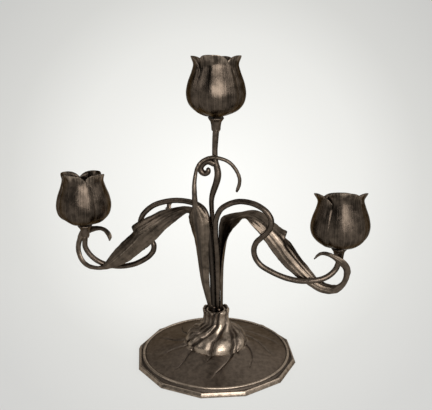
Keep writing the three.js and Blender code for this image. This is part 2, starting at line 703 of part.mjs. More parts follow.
function addLeaves() {
  addPiece(plant, 'right_leaf', loftRings(bladeRings(rightLeafStations, 1)), 'wornBronze');
  addPiece(plant, 'left_leaf', loftRings(bladeRings(leftLeafStations, 1)), 'wornBronze');
  const frontLeaf = [...bladeRings(frontLeafStations, 1), ...tendrilRings()];
  addPiece(plant, 'front_leaf', loftRings(frontLeaf), 'wornBronze');
}

// Tulip outline from foot to tip: radius, and share of the tulip's height
const tulipOutline = [
  [PETAL_ROOT_RADIUS, PETAL_ROOT_SHARE],
  [10.5, 0.085],
  [18.5, 0.165],
  [23.8, 0.275],
  [TULIP_BELLY_RADIUS, 0.41],
  [24.2, 0.565],
  [21.2, 0.735],
  [TULIP_NECK_RADIUS, 0.855],
  [TULIP_TIP_RADIUS, 0.985],
];

// Petal shell with an arched top. The petals stand side by side at their roots and lap one over the
// next from LAP_START up: one side edge stands out from the tulip's outline and the other lies in from it.
const PETAL_STEPS_ACROSS = 8;
const PETAL_STEPS_ALONG = 9;
const LAP_START = 0.12;
const LAP_FULL = 0.4;

function petalGeometry(cup, turn) {
  const spots = tulipOutline.map(([radius, share]) => point([radius, 0, share * cup.height]));
  const outline = new THREE.CatmullRomCurve3(spots);
  const petalPitch = 360 / PETALS;
  const rings = [];
  for (let i = 0; i <= PETAL_STEPS_ALONG; i++) {
    const faces = { 1: [], '-1': [] };
    for (let j = 0; j <= PETAL_STEPS_ACROSS; j++) {
      const across = (2 * j) / PETAL_STEPS_ACROSS - 1;
      const t = (i / PETAL_STEPS_ALONG) * (1 - PETAL_TIP_DROP * across * across);
      const spot = outline.getPoint(t);
      const slope = outline.getTangent(t);
      const lap = THREE.MathUtils.smoothstep(t, LAP_START, LAP_FULL);
      const halfAngle = mix(PETAL_ROOT_HALF_ANGLE, PETAL_HALF_ANGLE, lap);
      const fullLift = ((PETAL_THICKNESS + PETAL_LAP_GAP) * halfAngle) / petalPitch;
      const edgeLift = fullLift * Math.min(1, t / LAP_START);
      const angle = radians(turn + halfAngle * across);
      const frontness = (1 + Math.cos(angle - radians(MOUTH_FRONT))) / 2;
      const tilt = mix(-cup.backDrop, cup.frontRise, frontness)
        * THREE.MathUtils.smoothstep(t, MOUTH_TILT_START, 1);
      for (const face of [1, -1]) {
        const lift = edgeLift * across + (face * PETAL_THICKNESS) / 2;
        const radius = spot.x + slope.z * lift;
        const rise = spot.z - slope.x * lift + tilt;
        faces[face].push(new THREE.Vector3(radius * Math.cos(angle), radius * Math.sin(angle), rise));
      }
    }
    rings.push([...faces[1], ...faces[-1].reverse()]);
  }
  return loftRings(rings);
}

function addTulip(label, cup) {
  const tulip = new THREE.Group();
  tulip.position.set(cup.x, 0, cup.z);
  plant.add(tulip);

  const stemBore = STEM_TOP_RADIUS + SEAT_GAP;
  const seat = PETAL_ROOT_SHARE * cup.height - PETAL_THICKNESS - SEAT_GAP;
  const receptacle = [
    [stemBore, -RECEPTACLE_LENGTH],
    [RECEPTACLE_NECK_RADIUS, -RECEPTACLE_LENGTH],
    [RECEPTACLE_NECK_RADIUS + 0.3, -RECEPTACLE_LENGTH * 0.6],
    [mix(RECEPTACLE_NECK_RADIUS, RECEPTACLE_DISH_RADIUS, 0.35), -RECEPTACLE_LENGTH * 0.22],
    [RECEPTACLE_DISH_RADIUS, seat - 0.5],
    [RECEPTACLE_DISH_RADIUS - 0.3, seat + 0.3],
    [PETAL_ROOT_RADIUS - 0.4, seat],
    [RECEPTACLE_VENT_RADIUS, seat],
    [RECEPTACLE_VENT_RADIUS, RECEPTACLE_BORE_END],
    [stemBore, RECEPTACLE_BORE_END],
  ];
  addPiece(tulip, `${label}_receptacle`, turned(receptacle, 18, true), 'bronze');

  const bore = CANDLE_DIAMETER / 2 + CANDLE_CLEARANCE;
  const outer = bore + CANDLE_CUP_WALL;
  const floorTop = CANDLE_CUP_LIFT + CANDLE_CUP_FLOOR;
  const rim = floorTop + CANDLE_CUP_DEPTH;
  const cupProfile = [
    [CANDLE_CUP_STUB_RADIUS, seat + SEAT_GAP],
    [CANDLE_CUP_STUB_RADIUS, CANDLE_CUP_LIFT],
    [outer, CANDLE_CUP_LIFT],
    [outer, rim - 1.5],
    [outer + 0.9, rim],
    [bore, rim],
    [bore, floorTop],
  ];
  addPiece(tulip, `${label}_candle_cup`, turned(cupProfile, 20), 'socketBrass');

  for (let i = 0; i < PETALS; i++) {
    const petal = petalGeometry(cup, cup.turn + (360 / PETALS) * i);
    addPiece(tulip, `${label}_petal_${i + 1}`, petal, 'bronze');
  }
}

addFoot();
addFerrule();
addStems();
addLeaves();
addBridge();
addTulip('top', TOP_CUP);
addTulip('left', LEFT_CUP);
addTulip('right', RIGHT_CUP);

export default candelabra;
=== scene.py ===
"""Looks of a three-light tulip candelabra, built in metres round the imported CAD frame."""

import logging
import math
from dataclasses import dataclass, field
from enum import Enum
from functools import cache
from typing import Sequence

import bmesh
import bpy
import numpy as np
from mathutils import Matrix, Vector


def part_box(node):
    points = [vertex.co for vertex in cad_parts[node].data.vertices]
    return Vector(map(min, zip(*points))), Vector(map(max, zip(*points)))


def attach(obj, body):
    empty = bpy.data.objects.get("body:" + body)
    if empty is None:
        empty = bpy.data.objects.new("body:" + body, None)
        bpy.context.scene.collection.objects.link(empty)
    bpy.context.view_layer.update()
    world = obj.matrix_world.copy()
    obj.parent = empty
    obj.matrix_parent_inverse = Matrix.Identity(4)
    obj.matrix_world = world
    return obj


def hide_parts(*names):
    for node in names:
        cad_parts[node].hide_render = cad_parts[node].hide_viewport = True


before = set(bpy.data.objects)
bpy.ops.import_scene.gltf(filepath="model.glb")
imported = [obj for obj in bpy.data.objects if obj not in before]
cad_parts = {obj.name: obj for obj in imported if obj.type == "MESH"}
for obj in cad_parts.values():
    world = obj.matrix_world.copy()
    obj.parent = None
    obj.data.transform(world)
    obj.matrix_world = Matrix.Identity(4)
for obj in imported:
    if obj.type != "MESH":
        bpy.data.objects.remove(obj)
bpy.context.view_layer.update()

log = logging.getLogger("candelabra")

Point = tuple[float, float, float]
Colour = tuple[float, float, float]
Station = tuple[Point, Point, float]
Table = tuple[tuple[float, float], ...]
Values = np.ndarray | float

BODY = "root"
MM = 0.001
TINY = 1e-9
# The hollow mark carries dark patina in hollows together with painted shade.
WEAR, HOLLOW_AND_SHADE, TIP, LIFT, GIRTH, GRAIN = "wear", "hollow", "tip", "lift", "girth", "grain"
# Sizes are in millimetres. The plant is measured from the collar's top, its ends from the cups.
COLLAR_TOP = 53.0
TOP_CUP = (0.0, 0.0, 187.0)
RIGHT_CUP = (116.0, 0.0, 73.0)
LEFT_CUP = (-134.0, 0.0, 72.0)
LEAF_THICKNESS = 1.4
STEM_ROOT_RADIUS = 2.3
ROOT_LEVEL = -9.9
BUNDLE_GAP = 0.3
SLOT_RADIUS = (2 * STEM_ROOT_RADIUS + BUNDLE_GAP) / math.sqrt(3)
LEAF_ROOT_RADIUS = SLOT_RADIUS + STEM_ROOT_RADIUS + BUNDLE_GAP + LEAF_THICKNESS / 2
RECEPTACLE_FOOT = -10.0


# Shader and geometry trees


class Link:
    """A node's output that takes part in arithmetic."""

    def __init__(self, graph: "Graph", socket: bpy.types.NodeSocket) -> None:
        """Keeps the tree and the socket."""
        self.graph, self.socket = graph, socket

    def out(self, name: str) -> "Link":
        """Another output of the same node."""
        return Link(self.graph, self.socket.node.outputs[name])

    def __add__(self, other: "Term") -> "Link":
        """Sum of the two."""
        return self.graph.math("ADD", self, other)

    def __sub__(self, other: "Term") -> "Link":
        """This less the other."""
        return self.graph.math("SUBTRACT", self, other)

    def __mul__(self, other: "Term") -> "Link":
        """Product of the two."""
        return self.graph.math("MULTIPLY", self, other)

    def __truediv__(self, other: "Term") -> "Link":
        """This over the other."""
        return self.graph.math("DIVIDE", self, other)

    def __rsub__(self, other: float) -> "Link":
        """The other less this."""
        return self.graph.math("SUBTRACT", other, self)

    __radd__ = __add__
    __rmul__ = __mul__


Term = Link | float


class Graph:
    """A node tree that is written as expressions."""

    def __init__(self, tree: bpy.types.NodeTree) -> None:
        """Empties the tree."""
        self.tree = tree
        tree.nodes.clear()

    def add(
        self,
        kind: str,
        inputs: dict[int | str, object] | None = None,
        output: int | str = 0,
        **settings: object,
    ) -> Link:
        """Adds a node, sets it up and feeds its sockets.

        Args:
            kind: The node's type.
            inputs: Values or links by socket name or number.
            output: The socket that is returned.
            **settings: Properties of the node. "stops" gives a ramp's positions and colours.

        Returns:
            The chosen output, or the first input of a node that has no outputs.
        """
        node = self.tree.nodes.new(kind)
        for key, value in settings.items():
            if key == "stops":
                self._set_stops(node.color_ramp, value)
            else:
                setattr(node, key, value)
        for key, value in (inputs or {}).items():
            if isinstance(value, Link):
                self.tree.links.new(value.socket, node.inputs[key])
            else:
                node.inputs[key].default_value = value
        return Link(self, node.outputs[output] if node.outputs else node.inputs[0])

    def math(self, operation: str, *terms: Term) -> Link:
        """A Math node on one to three terms."""
        return self.add("ShaderNodeMath", dict(enumerate(terms)), operation=operation)

    def vector(self, operation: str, *terms: object) -> Link:
        """A Vector Math node. SCALE takes a vector and a number."""
        slots = (0, 3) if operation == "SCALE" else range(len(terms))
        return self.add("ShaderNodeVectorMath", dict(zip(slots, terms)), operation=operation)

    def xyz(self, **parts: Term) -> Link:
        """A vector from its parts, called X, Y and Z."""
        return self.add("ShaderNodeCombineXYZ", parts)

    def parts(self, vector: Link) -> list[Link]:
        """The three numbers of a vector."""
        whole = self.add("ShaderNodeSeparateXYZ", {0: vector})
        return [whole.out(name) for name in "XYZ"]

    def colour(self, factor: Term, low: object, high: object) -> Link:
        """A mix of two colours: low where the factor is 0, high where it is 1."""
        return self.add("ShaderNodeMix", {0: factor, 6: low, 7: high}, 2, data_type="RGBA")

    def noise(self, place: Link, scale: Term, detail: float = 2.0, rough: float = 0.5) -> Link:
        """Noise from 0 to 1.

        Args:
            place: Where it is read.
            scale: Its number of lumps in a unit of the place.
            detail: Its octaves.
            rough: How strong the finer octaves are.

        Returns:
            The value.
        """
        inputs = {"Vector": place, "Scale": scale, "Detail": detail, "Roughness": rough}
        return self.add("ShaderNodeTexNoise", inputs)

    def step(self, value: Link, low: float, high: float) -> Link:
        """A smooth rise from 0 at low to 1 at high."""
        inputs = {0: value, 1: low, 2: high}
        return self.add("ShaderNodeMapRange", inputs, interpolation_type="SMOOTHSTEP")

    def stored(self, name: str, kind: str = "FLOAT") -> Link:
        """A stored attribute, in a geometry tree."""
        return self.add("GeometryNodeInputNamedAttribute", {"Name": name}, data_type=kind)

    def chance(self, low: float, high: float, which: Link, seed: Term) -> Link:
        """A random number for each copy, in a geometry tree.

        Args:
            low: The lowest number.
            high: The highest number.
            which: The copy's own number.
            seed: Fixes the draw.

        Returns:
            The number.
        """
        inputs = {2: low, 3: high, "ID": which, "Seed": seed}
        return self.add("FunctionNodeRandomValue", inputs, 1, data_type="FLOAT")

    @staticmethod
    def _set_stops(ramp: bpy.types.ColorRamp, stops: Sequence[tuple[float, Colour]]) -> None:
        """Gives a ramp its stops.

        Args:
            ramp: The ramp.
            stops: Positions and colours.
        """
        while len(ramp.elements) < len(stops):
            ramp.elements.new(1.0)
        for element, (place, colour) in zip(ramp.elements, stops):
            element.position = place
            element.color = opaque(colour)


def opaque(colour: Colour, share: float = 1.0) -> tuple[float, ...]:
    """The colour times the share, with full alpha."""
    return (*(share * c for c in colour), 1.0)


# Finishes


@dataclass(frozen=True)
class Finish:
    """A surface that is made as one material."""

    name: str

    @cache
    def material(self) -> bpy.types.Material:
        """Builds the material at its first use.

        Returns:
            The material.
        """
        made = bpy.data.materials.new(self.name)
        made.use_nodes = True
        graph = Graph(made.node_tree)
        place = graph.add("ShaderNodeTexCoord", output="Object")
        graph.add("ShaderNodeOutputMaterial", {"Surface": self.surface(graph, place)})
        return made

    def surface(self, graph: Graph, place: Link) -> Link:
        """Builds the shader. Every finish has its own.

        Args:
            graph: The material's tree.
            place: Object coordinates, in metres.

        Returns:
            The shader.
        """
        raise NotImplementedError

    @staticmethod
    def principled(graph: Graph, height: Link, **inputs: object) -> Link:
        """A Principled shader with a bump.

        Args:
            graph: The material's tree.
            height: The bump's height in metres.
            **inputs: Its sockets, with _ for a space.

        Returns:
            The shader.
        """
        bump = graph.add("ShaderNodeBump", {"Strength": 1.0, "Distance": 1.0, "Height": height})
        sockets = {name.replace("_", " "): value for name, value in inputs.items()}
        return graph.add("ShaderNodeBsdfPrincipled", {**sockets, "Normal": bump})


@dataclass(frozen=True)
class Patina(Finish):
    """Dark patina on bronze, rubbed paler on the crests; its hollow mark darkens both patina in the hollows
    and painted shade.
    """

    deep: Colour = (0.036, 0.028, 0.021)
    body: Colour = (0.14, 0.107, 0.082)
    rubbed: Colour = (0.5, 0.4, 0.31)
    edge_tint: Colour = (0.4, 0.37, 0.34)
    roughness: float = 0.29
    patch_scale: float = 26.0
    patchiness: float = 0.45
    mottle_scale: float = 150.0
    pit_scale: float = 900.0
    pit_depth: float = 0.00009
    mottle_depth: float = 2.2
    streaks: float = 0.0
    streak_scale: float = 0.8
    streak_stretch: float = 0.035
    streak_depth: float = 0.0001
    rub_strength: float = 0.85
    # How far the hollow mark darkens the colour: patina in hollows and painted shade.
    grime_and_shade_strength: float = 0.75
    grime_and_shade_tone: float = 0.45

    def surface(self, graph: Graph, place: Link) -> Link:
        """Builds the shader.

        Args:
            graph: The material's tree.
            place: Object coordinates, in metres.

        Returns:
            The shader.
        """
        wear, hollow = (
            graph.add("ShaderNodeAttribute", output="Fac", attribute_name=name) for name in (WEAR, HOLLOW_AND_SHADE)
        )
        grain = graph.add("ShaderNodeUVMap", uv_map=GRAIN)
        along = graph.vector("MULTIPLY", grain, (1.0, self.streak_stretch, 1.0))
        patches = graph.noise(place, self.patch_scale, 3.0, 0.55)
        mottle = graph.noise(place, self.mottle_scale, 6.0, 0.6)
        pits = graph.noise(place, self.pit_scale, 3.0, 0.6)
        streak = graph.noise(along, self.streak_scale, 5.0, 0.6)
        fleck, line = mottle - 0.5, streak - 0.5

        mixed = patches * self.patchiness + mottle * (1 - self.patchiness)
        tone = graph.step(mixed + line * self.streaks * 0.35, 0.27, 0.73)
        rub = graph.step(wear + fleck * 0.9 + line * (0.55 * self.streaks), 0.35, 1.05)
        # The hollow mark darkens the colour: patina in hollows, and painted shade where parts shut each
        # other in.
        grime_and_shade = graph.step(hollow + fleck * 0.5, 0.2, 1.0)
        shade = graph.colour(tone, opaque(self.deep), opaque(self.body))
        shade = graph.colour(rub * self.rub_strength, shade, opaque(self.rubbed))
        shade = graph.colour(grime_and_shade * self.grime_and_shade_strength, shade, opaque(self.deep, self.grime_and_shade_tone))
        rough = self.roughness + fleck * 0.24 + line * (0.2 * self.streaks) - rub * 0.06 + grime_and_shade * 0.2
        height = pits * self.pit_depth + mottle * (self.mottle_depth * self.pit_depth)
        height = height + streak * (self.streak_depth * self.streaks)
        return self.principled(
            graph,
            height,
            Base_Color=shade,
            Metallic=1.0 - grime_and_shade * 0.5,
            Specular_Tint=opaque(self.edge_tint),
            Roughness=rough,
        )


@dataclass(frozen=True)
class PlainMetal(Finish):
    """Turned or bought-in metal with a fine lathe or plating grain."""

    colour: Colour
    roughness: float
    rings: float = 2400.0
    ring_depth: float = 0.00003
    blotch_scale: float = 180.0
    blotch_shade: float = 0.45

    def surface(self, graph: Graph, place: Link) -> Link:
        """Builds the shader.

        Args:
            graph: The material's tree.
            place: Object coordinates, in metres.

        Returns:
            The shader.
        """
        lathe = graph.noise(graph.vector("MULTIPLY", place, (0.15, 0.15, 1.0)), self.rings, 2.0)
        blotch = graph.noise(place, self.blotch_scale, 4.0, 0.6)
        dull = opaque(self.colour, self.blotch_shade)
        shade = graph.colour(graph.step(blotch, 0.3, 0.7), dull, opaque(self.colour))
        rough = self.roughness + (blotch - 0.5) * 0.25 + (lathe - 0.5) * 0.1
        height = lathe * self.ring_depth
        return self.principled(graph, height, Base_Color=shade, Metallic=1.0, Roughness=rough)


@dataclass(frozen=True)
class Felt(Finish):
    """Short-pile felt."""

    colour: Colour = (0.028, 0.036, 0.028)
    pale_share: float = 1.9
    pile_scale: float = 1500.0
    pile_depth: float = 0.0004

    def surface(self, graph: Graph, place: Link) -> Link:
        """Builds the shader.

        Args:
            graph: The material's tree.
            place: Object coordinates, in metres.

        Returns:
            The shader.
        """
        fibre = graph.noise(place, self.pile_scale, 5.0, 0.7)
        mixed = fibre * 0.7 + graph.noise(place, 60.0, 3.0) * 0.3
        shade = graph.colour(mixed, opaque(self.colour), opaque(self.colour, self.pale_share))
        height = fibre * self.pile_depth
        return self.principled(graph, height, Base_Color=shade, Roughness=0.95, Sheen_Weight=0.3)


class Look(Enum):
    """The finishes of the candelabra."""

    PETALS = Patina(
        "petal_patina",
        deep=(0.026, 0.02, 0.015),
        body=(0.138, 0.106, 0.081),
        roughness=0.26,
        pit_depth=0.00007,
        streaks=1.5,
    )
    STEMS = Patina("stem_patina", roughness=0.28, mottle_scale=190.0)
    LEAVES = Patina("leaf_patina", body=(0.19, 0.147, 0.111), roughness=0.31, pit_depth=0.00007, streaks=0.8)
    CASTING = Patina(
        "casting_patina",
        deep=(0.095, 0.074, 0.058),
        body=(0.205, 0.16, 0.124),
        roughness=0.34,
        patchiness=0.3,
        mottle_scale=260.0,
        pit_depth=0.0001,
    )
    BRASS = PlainMetal("socket_brass", (0.13, 0.1, 0.062), 0.42)
    BRAZE = PlainMetal("braze_metal", (0.34, 0.25, 0.185), 0.42, 300.0)
    STEEL = PlainMetal("plain_steel", (0.35, 0.34, 0.33), 0.38)
    FELT = Felt("base_felt_pile")

    @property
    def material(self) -> bpy.types.Material:
        """The finish's material."""
        return self.value.material()


# Curves and skins


def unit(rows: np.ndarray) -> np.ndarray:
    """The rows at length 1."""
    return rows / np.maximum(np.linalg.norm(rows, axis=-1, keepdims=True), 1e-12)


def smooth(share: Values, low: float, high: float) -> np.ndarray:
    """A smooth rise from 0 at low to 1 at high."""
    t = np.clip((np.asarray(share, float) - low) / (high - low), 0, 1)
    return t * t * (3 - 2 * t)


def read(table: Table, place: Values, back: bool = False) -> Values:
    """Reads a table, with straight lines between its rows.

    Args:
        table: Places in rising order, each with its value.
        place: Where it is read.
        back: True takes values of a rising table and gives their places.

    Returns:
        The values.
    """
    places, values = zip(*table)
    return np.interp(place, values, places) if back else np.interp(place, places, values)


def waves(place: Values, count: int, low: float, high: float, seed: int) -> np.ndarray:
    """A sum of sine waves with random phases.

    Args:
        place: Where it is read.
        count: How many waves.
        low: The lowest number of waves in a unit of the place.
        high: The highest number.
        seed: Fixes the random phases.

    Returns:
        Values between -1 and 1.
    """
    draw = np.random.default_rng(seed)
    total = np.zeros_like(np.asarray(place, float))
    for _ in range(count):
        total += np.sin(2 * math.pi * (draw.uniform(low, high) * place + draw.uniform()))
    return total / count


def lengths_along(points: np.ndarray) -> np.ndarray:
    """The length of the line up to each of its points."""
    return np.concatenate([[0], np.cumsum(np.linalg.norm(np.diff(points, axis=0), axis=1))])


def polar(radius: float, degrees: float, height: float) -> Point:
    """A spot round the foot's axis."""
    return (radius * math.cos(math.radians(degrees)), radius * math.sin(math.radians(degrees)), height)


def ring(radius: Values, angles: np.ndarray, height: Values) -> np.ndarray:
    """Points round the Z axis, one for each angle."""
    return np.column_stack([radius * np.cos(angles), radius * np.sin(angles), height + 0 * angles])


def turned_rings(profile: Sequence[Sequence[float]], centre: Point, segments: int) -> np.ndarray:
    """Rings of a turned body.

    Args:
        profile: Radius and height of each ring, heights from the centre.
        centre: Where the axis stands.
        segments: Points in a ring.

    Returns:
        The rings.
    """
    angles = np.linspace(0, 2 * math.pi, segments, endpoint=False)
    return np.asarray([ring(r, angles, h) for r, h in profile]) + np.asarray(centre)


def section(half: int, edge_share: float) -> tuple[np.ndarray, np.ndarray]:
    """Places round a sheet's section, over one face and back under the other.

    Args:
        half: The points on one face.
        edge_share: 0 crowds the points to the middle and 1 to the edges.

    Returns:
        Places across from -1 to 1, and the face of each as 1 or -1.
    """
    turns = np.linspace(math.pi, -math.pi, 2 * half, endpoint=False)
    cosine = np.cos(turns)
    to_middle = np.sign(cosine) * (1 - np.abs(np.sin(turns)))
    across = edge_share * cosine + (1 - edge_share) * to_middle
    return across, np.sign(np.sin(turns + TINY))


class Route:
    """A smooth centripetal curve through points of any dimension."""

    def __init__(self, points: Sequence[Sequence[float]]) -> None:
        """Keeps the points, two or more."""
        self.points = np.asarray(points, float)

    def at(self, shares: np.ndarray) -> np.ndarray:
        """Points along the curve.

        Args:
            shares: Places from 0 to 1, where each span between points takes an equal share.

        Returns:
            One row for each share.
        """
        spots = self.points
        count = len(spots)
        padded = np.vstack([2 * spots[0] - spots[1], spots, 2 * spots[-1] - spots[-2]])
        place = np.clip(shares, 0, 1) * (count - 1)
        span = np.minimum(place.astype(int), count - 2)
        w = (place - span)[:, None]
        p0, p1, p2, p3 = (padded[span + k] for k in range(4))
        d0, d1, d2 = (self._gap(a, b) for a, b in ((p0, p1), (p1, p2), (p2, p3)))
        m1 = ((p1 - p0) / d0 - (p2 - p0) / (d0 + d1) + (p2 - p1) / d1) * d1
        m2 = ((p2 - p1) / d1 - (p3 - p1) / (d1 + d2) + (p3 - p2) / d2) * d1
        return p1 + m1 * w + (3 * (p2 - p1) - 2 * m1 - m2) * w**2 + (2 * (p1 - p2) + m1 + m2) * w**3

    @staticmethod
    def _gap(a: np.ndarray, b: np.ndarray) -> np.ndarray:
        """Square root of the distance between rows, never zero."""
        return np.maximum(np.sum((a - b) ** 2, axis=1), 1e-12)[:, None] ** 0.25

    def tangents(self, shares: np.ndarray) -> np.ndarray:
        """Unit directions along the curve, one row for each share."""
        reach = 0.02 / (len(self.points) - 1)
        return unit(self.at(np.minimum(shares + reach, 1)) - self.at(np.maximum(shares - reach, 0)))


class Ends(Enum):
    """What happens at the first and last ring of a lofted skin."""

    CAPPED = "capped"
    JOINED = "joined"


def wear_and_shade_marks(crest: np.ndarray) -> dict[str, np.ndarray]:
    """Marks for wear, and for dark patina in hollows together with painted shade, from a measure that is 1
    on crests and -1 in hollows.
    """
    return {WEAR: np.clip(crest, 0, 1), HOLLOW_AND_SHADE: np.clip(-crest, 0, 1)}


@dataclass
class Skin:
    """Rings of points, in millimetres, that make one closed surface."""

    name: str
    rings: np.ndarray
    marks: dict[str, np.ndarray]
    ends: Ends = Ends.CAPPED
    sharp_angle: float = 50.0

    def build(self) -> bpy.types.Object:
        """Makes the mesh object, with its marks and grain, facing out and shaded smooth.

        Returns:
            The object, at the origin.
        """
        rows, count, _ = self.rings.shape
        points = self.rings.reshape(-1, 3)
        faces = self._faces(rows, count)
        if self._volume(points, faces) < 0:
            faces = [face[::-1] for face in faces]
        mesh = bpy.data.meshes.new(self.name)
        mesh.from_pydata((points * MM).tolist(), [], faces)
        for name, values in self.marks.items():
            mark(mesh, name, values)
        self._grain(mesh, rows, count)
        work = bmesh.new()
        work.from_mesh(mesh)
        bmesh.ops.remove_doubles(work, verts=work.verts, dist=2e-6)
        bmesh.ops.dissolve_degenerate(work, edges=work.edges, dist=1e-6)
        work.to_mesh(mesh)
        work.free()
        mesh.shade_smooth()
        mesh.set_sharp_from_angle(angle=math.radians(self.sharp_angle))
        return linked(self.name, mesh)

    def _faces(self, rows: int, count: int) -> list[tuple[int, ...]]:
        """Faces between the rings and over the ends.

        Args:
            rows: The number of rings.
            count: The number of points in a ring.

        Returns:
            Faces as point numbers.
        """
        faces = []
        for i in range(rows if self.ends is Ends.JOINED else rows - 1):
            here, beyond = i * count, ((i + 1) % rows) * count
            for j in range(count):
                k = (j + 1) % count
                faces.append((here + j, here + k, beyond + k, beyond + j))
        if self.ends is Ends.CAPPED:
            last = (rows - 1) * count
            for j in range(count // 2 - 1):
                k = count - 1 - j
                faces.append((j, k, k - 1, j + 1))
                faces.append((last + j, last + j + 1, last + k - 1, last + k))
        return faces

    @staticmethod
    def _volume(points: np.ndarray, faces: list[tuple[int, ...]]) -> float:
        """Six times the signed volume within the faces."""
        a, b, c, d = (points[corner] for corner in np.asarray(faces).T)
        return float(np.sum(a * (np.cross(b, c) + np.cross(c, d))))

    def _grain(self, mesh: bpy.types.Mesh, rows: int, count: int) -> None:
        """Lays a map in millimetres: round the ring, and along the rings.

        Args:
            mesh: The mesh that gets the map.
            rows: The number of rings.
            count: The number of points in a ring.
        """
        along = lengths_along(self.rings.mean(axis=1))
        around = np.linalg.norm(self.rings - np.roll(self.rings, 1, axis=1), axis=2)
        across = np.cumsum(around.max(axis=0))
        index = np.zeros(len(mesh.loops), int)
        mesh.loops.foreach_get("vertex_index", index)
        place = np.column_stack([across[index % count], along[index // count]])
        column = (index % count).reshape(len(mesh.polygons), -1)
        crossing = column.max(axis=1) - column.min(axis=1) == count - 1
        seam = (crossing[:, None] & (column == 0)).ravel()
        place[seam, 0] += across[-1] + around[:, 0].max()
        mesh.uv_layers.new(name=GRAIN).data.foreach_set("uv", place.ravel())


def mark(mesh: bpy.types.Mesh, name: str, values: np.ndarray) -> None:
    """Stores a number at each point of a mesh."""
    layer = mesh.attributes.new(name, "FLOAT", "POINT")
    layer.data.foreach_set("value", np.ascontiguousarray(values, float).ravel())


def linked(name: str, data: bpy.types.ID) -> bpy.types.Object:
    """Puts data into the scene as an object.

    Args:
        name: The object's name.
        data: Its mesh, lamp or camera.

    Returns:
        The object.
    """
    made = bpy.data.objects.new(name, data)
    bpy.context.scene.collection.objects.link(made)
    return made


def dress(piece: bpy.types.Object, look: Look, slot: str, *nodes: str) -> None:
    """Gives a piece its material and body, and hides the CAD nodes that it stands for.

    Args:
        piece: The finished piece.
        look: Its finish.
        slot: The record's slot. Not used.
        *nodes: The CAD nodes that it replaces.
    """
    piece.data.materials.clear()
    piece.data.materials.append(look.material)
    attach(piece, BODY)
    if nodes:
        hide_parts(*nodes)
    log.info("%s: %d faces", piece.name, len(piece.data.polygons))


# Geometry Nodes


class Tool:
    """A geometry tree for what follows a path or repeats, run on one object at a time."""

    title: str
    sockets: dict[str, str]

    @classmethod
    def shape(cls, graph: Graph, given: dict[str, Link]) -> Link:
        """Builds the geometry. Every tool has its own.

        Args:
            graph: The tree.
            given: The tree's inputs by name.

        Returns:
            The geometry.
        """
        raise NotImplementedError

    @classmethod
    @cache
    def tree(cls) -> bpy.types.NodeTree:
        """Builds the tree at its first use, from its named inputs to real geometry with its material.

        Returns:
            The tree.
        """
        tree = bpy.data.node_groups.new(cls.title, "GeometryNodeTree")
        graph = Graph(tree)
        sockets = {**cls.sockets, "Metal": "Material"}
        for label, kind in sockets.items():
            tree.interface.new_socket(label, in_out="INPUT", socket_type=f"NodeSocket{kind}")
        tree.interface.new_socket("Geometry", in_out="OUTPUT", socket_type="NodeSocketGeometry")
        entry = graph.add("NodeGroupInput")
        given = {label: entry.out(label) for label in sockets}
        shape = graph.add("GeometryNodeRealizeInstances", {0: cls.shape(graph, given)})
        shape = graph.add("GeometryNodeSetMaterial", {"Geometry": shape, "Material": given["Metal"]})
        graph.add("NodeGroupOutput", {0: shape})
        return tree

    @classmethod
    def run(cls, source: bpy.types.Object, look: Look, values: dict[str, object]) -> bpy.types.Object:
        """Runs the tree on an object and keeps the result as a plain mesh.

        Args:
            source: The object whose geometry goes in. It is used up.
            look: The finish.
            values: The other inputs by name.

        Returns:
            The object with the finished mesh.
        """
        tree = cls.tree()
        modifier = source.modifiers.new(tree.name, "NODES")
        modifier.node_group = tree
        values = {**values, "Metal": look.material}
        for item in tree.interface.items_tree:
            if item.item_type == "SOCKET" and item.in_out == "INPUT" and item.name in values:
                modifier[item.identifier] = values[item.name]
        graph = bpy.context.evaluated_depsgraph_get()
        mesh = bpy.data.meshes.new_from_object(source.evaluated_get(graph), depsgraph=graph)
        source.modifiers.remove(modifier)
        used, source.data = source.data, mesh
        bpy.data.meshes.remove(used)
        mesh.name = source.name
        return source


class RodTool(Tool):
    """A round rod along a path, with its girth at each point and shallow hammer dents."""

    title = "rod_along_path"
    sockets = {"Path": "Geometry", "Sides": "Int", "Dent depth": "Float", "Dents per metre": "Float"}

    @classmethod
    def shape(cls, graph: Graph, given: dict[str, Link]) -> Link:
        """Builds the geometry.

        Args:
            graph: The tree.
            given: The tree's inputs by name.

        Returns:
            The rod.
        """
        path = graph.add("GeometryNodeMeshToCurve", {"Mesh": given["Path"]})
        bar = graph.add("GeometryNodeCurvePrimitiveCircle", {"Resolution": given["Sides"], "Radius": 1.0})
        inputs = {"Curve": path, "Profile Curve": bar, "Scale": graph.stored(GIRTH), "Fill Caps": True}
        shape = graph.add("GeometryNodeCurveToMesh", inputs)
        lumps = graph.noise(graph.add("GeometryNodeInputPosition"), given["Dents per metre"])
        depth = (lumps - 0.5) * 2.0 * given["Dent depth"]
        offset = graph.vector("SCALE", graph.add("GeometryNodeInputNormal"), depth)
        shape = graph.add("GeometryNodeSetPosition", {"Geometry": shape, "Offset": offset})
        return graph.add("GeometryNodeSetShadeSmooth", {"Geometry": shape})


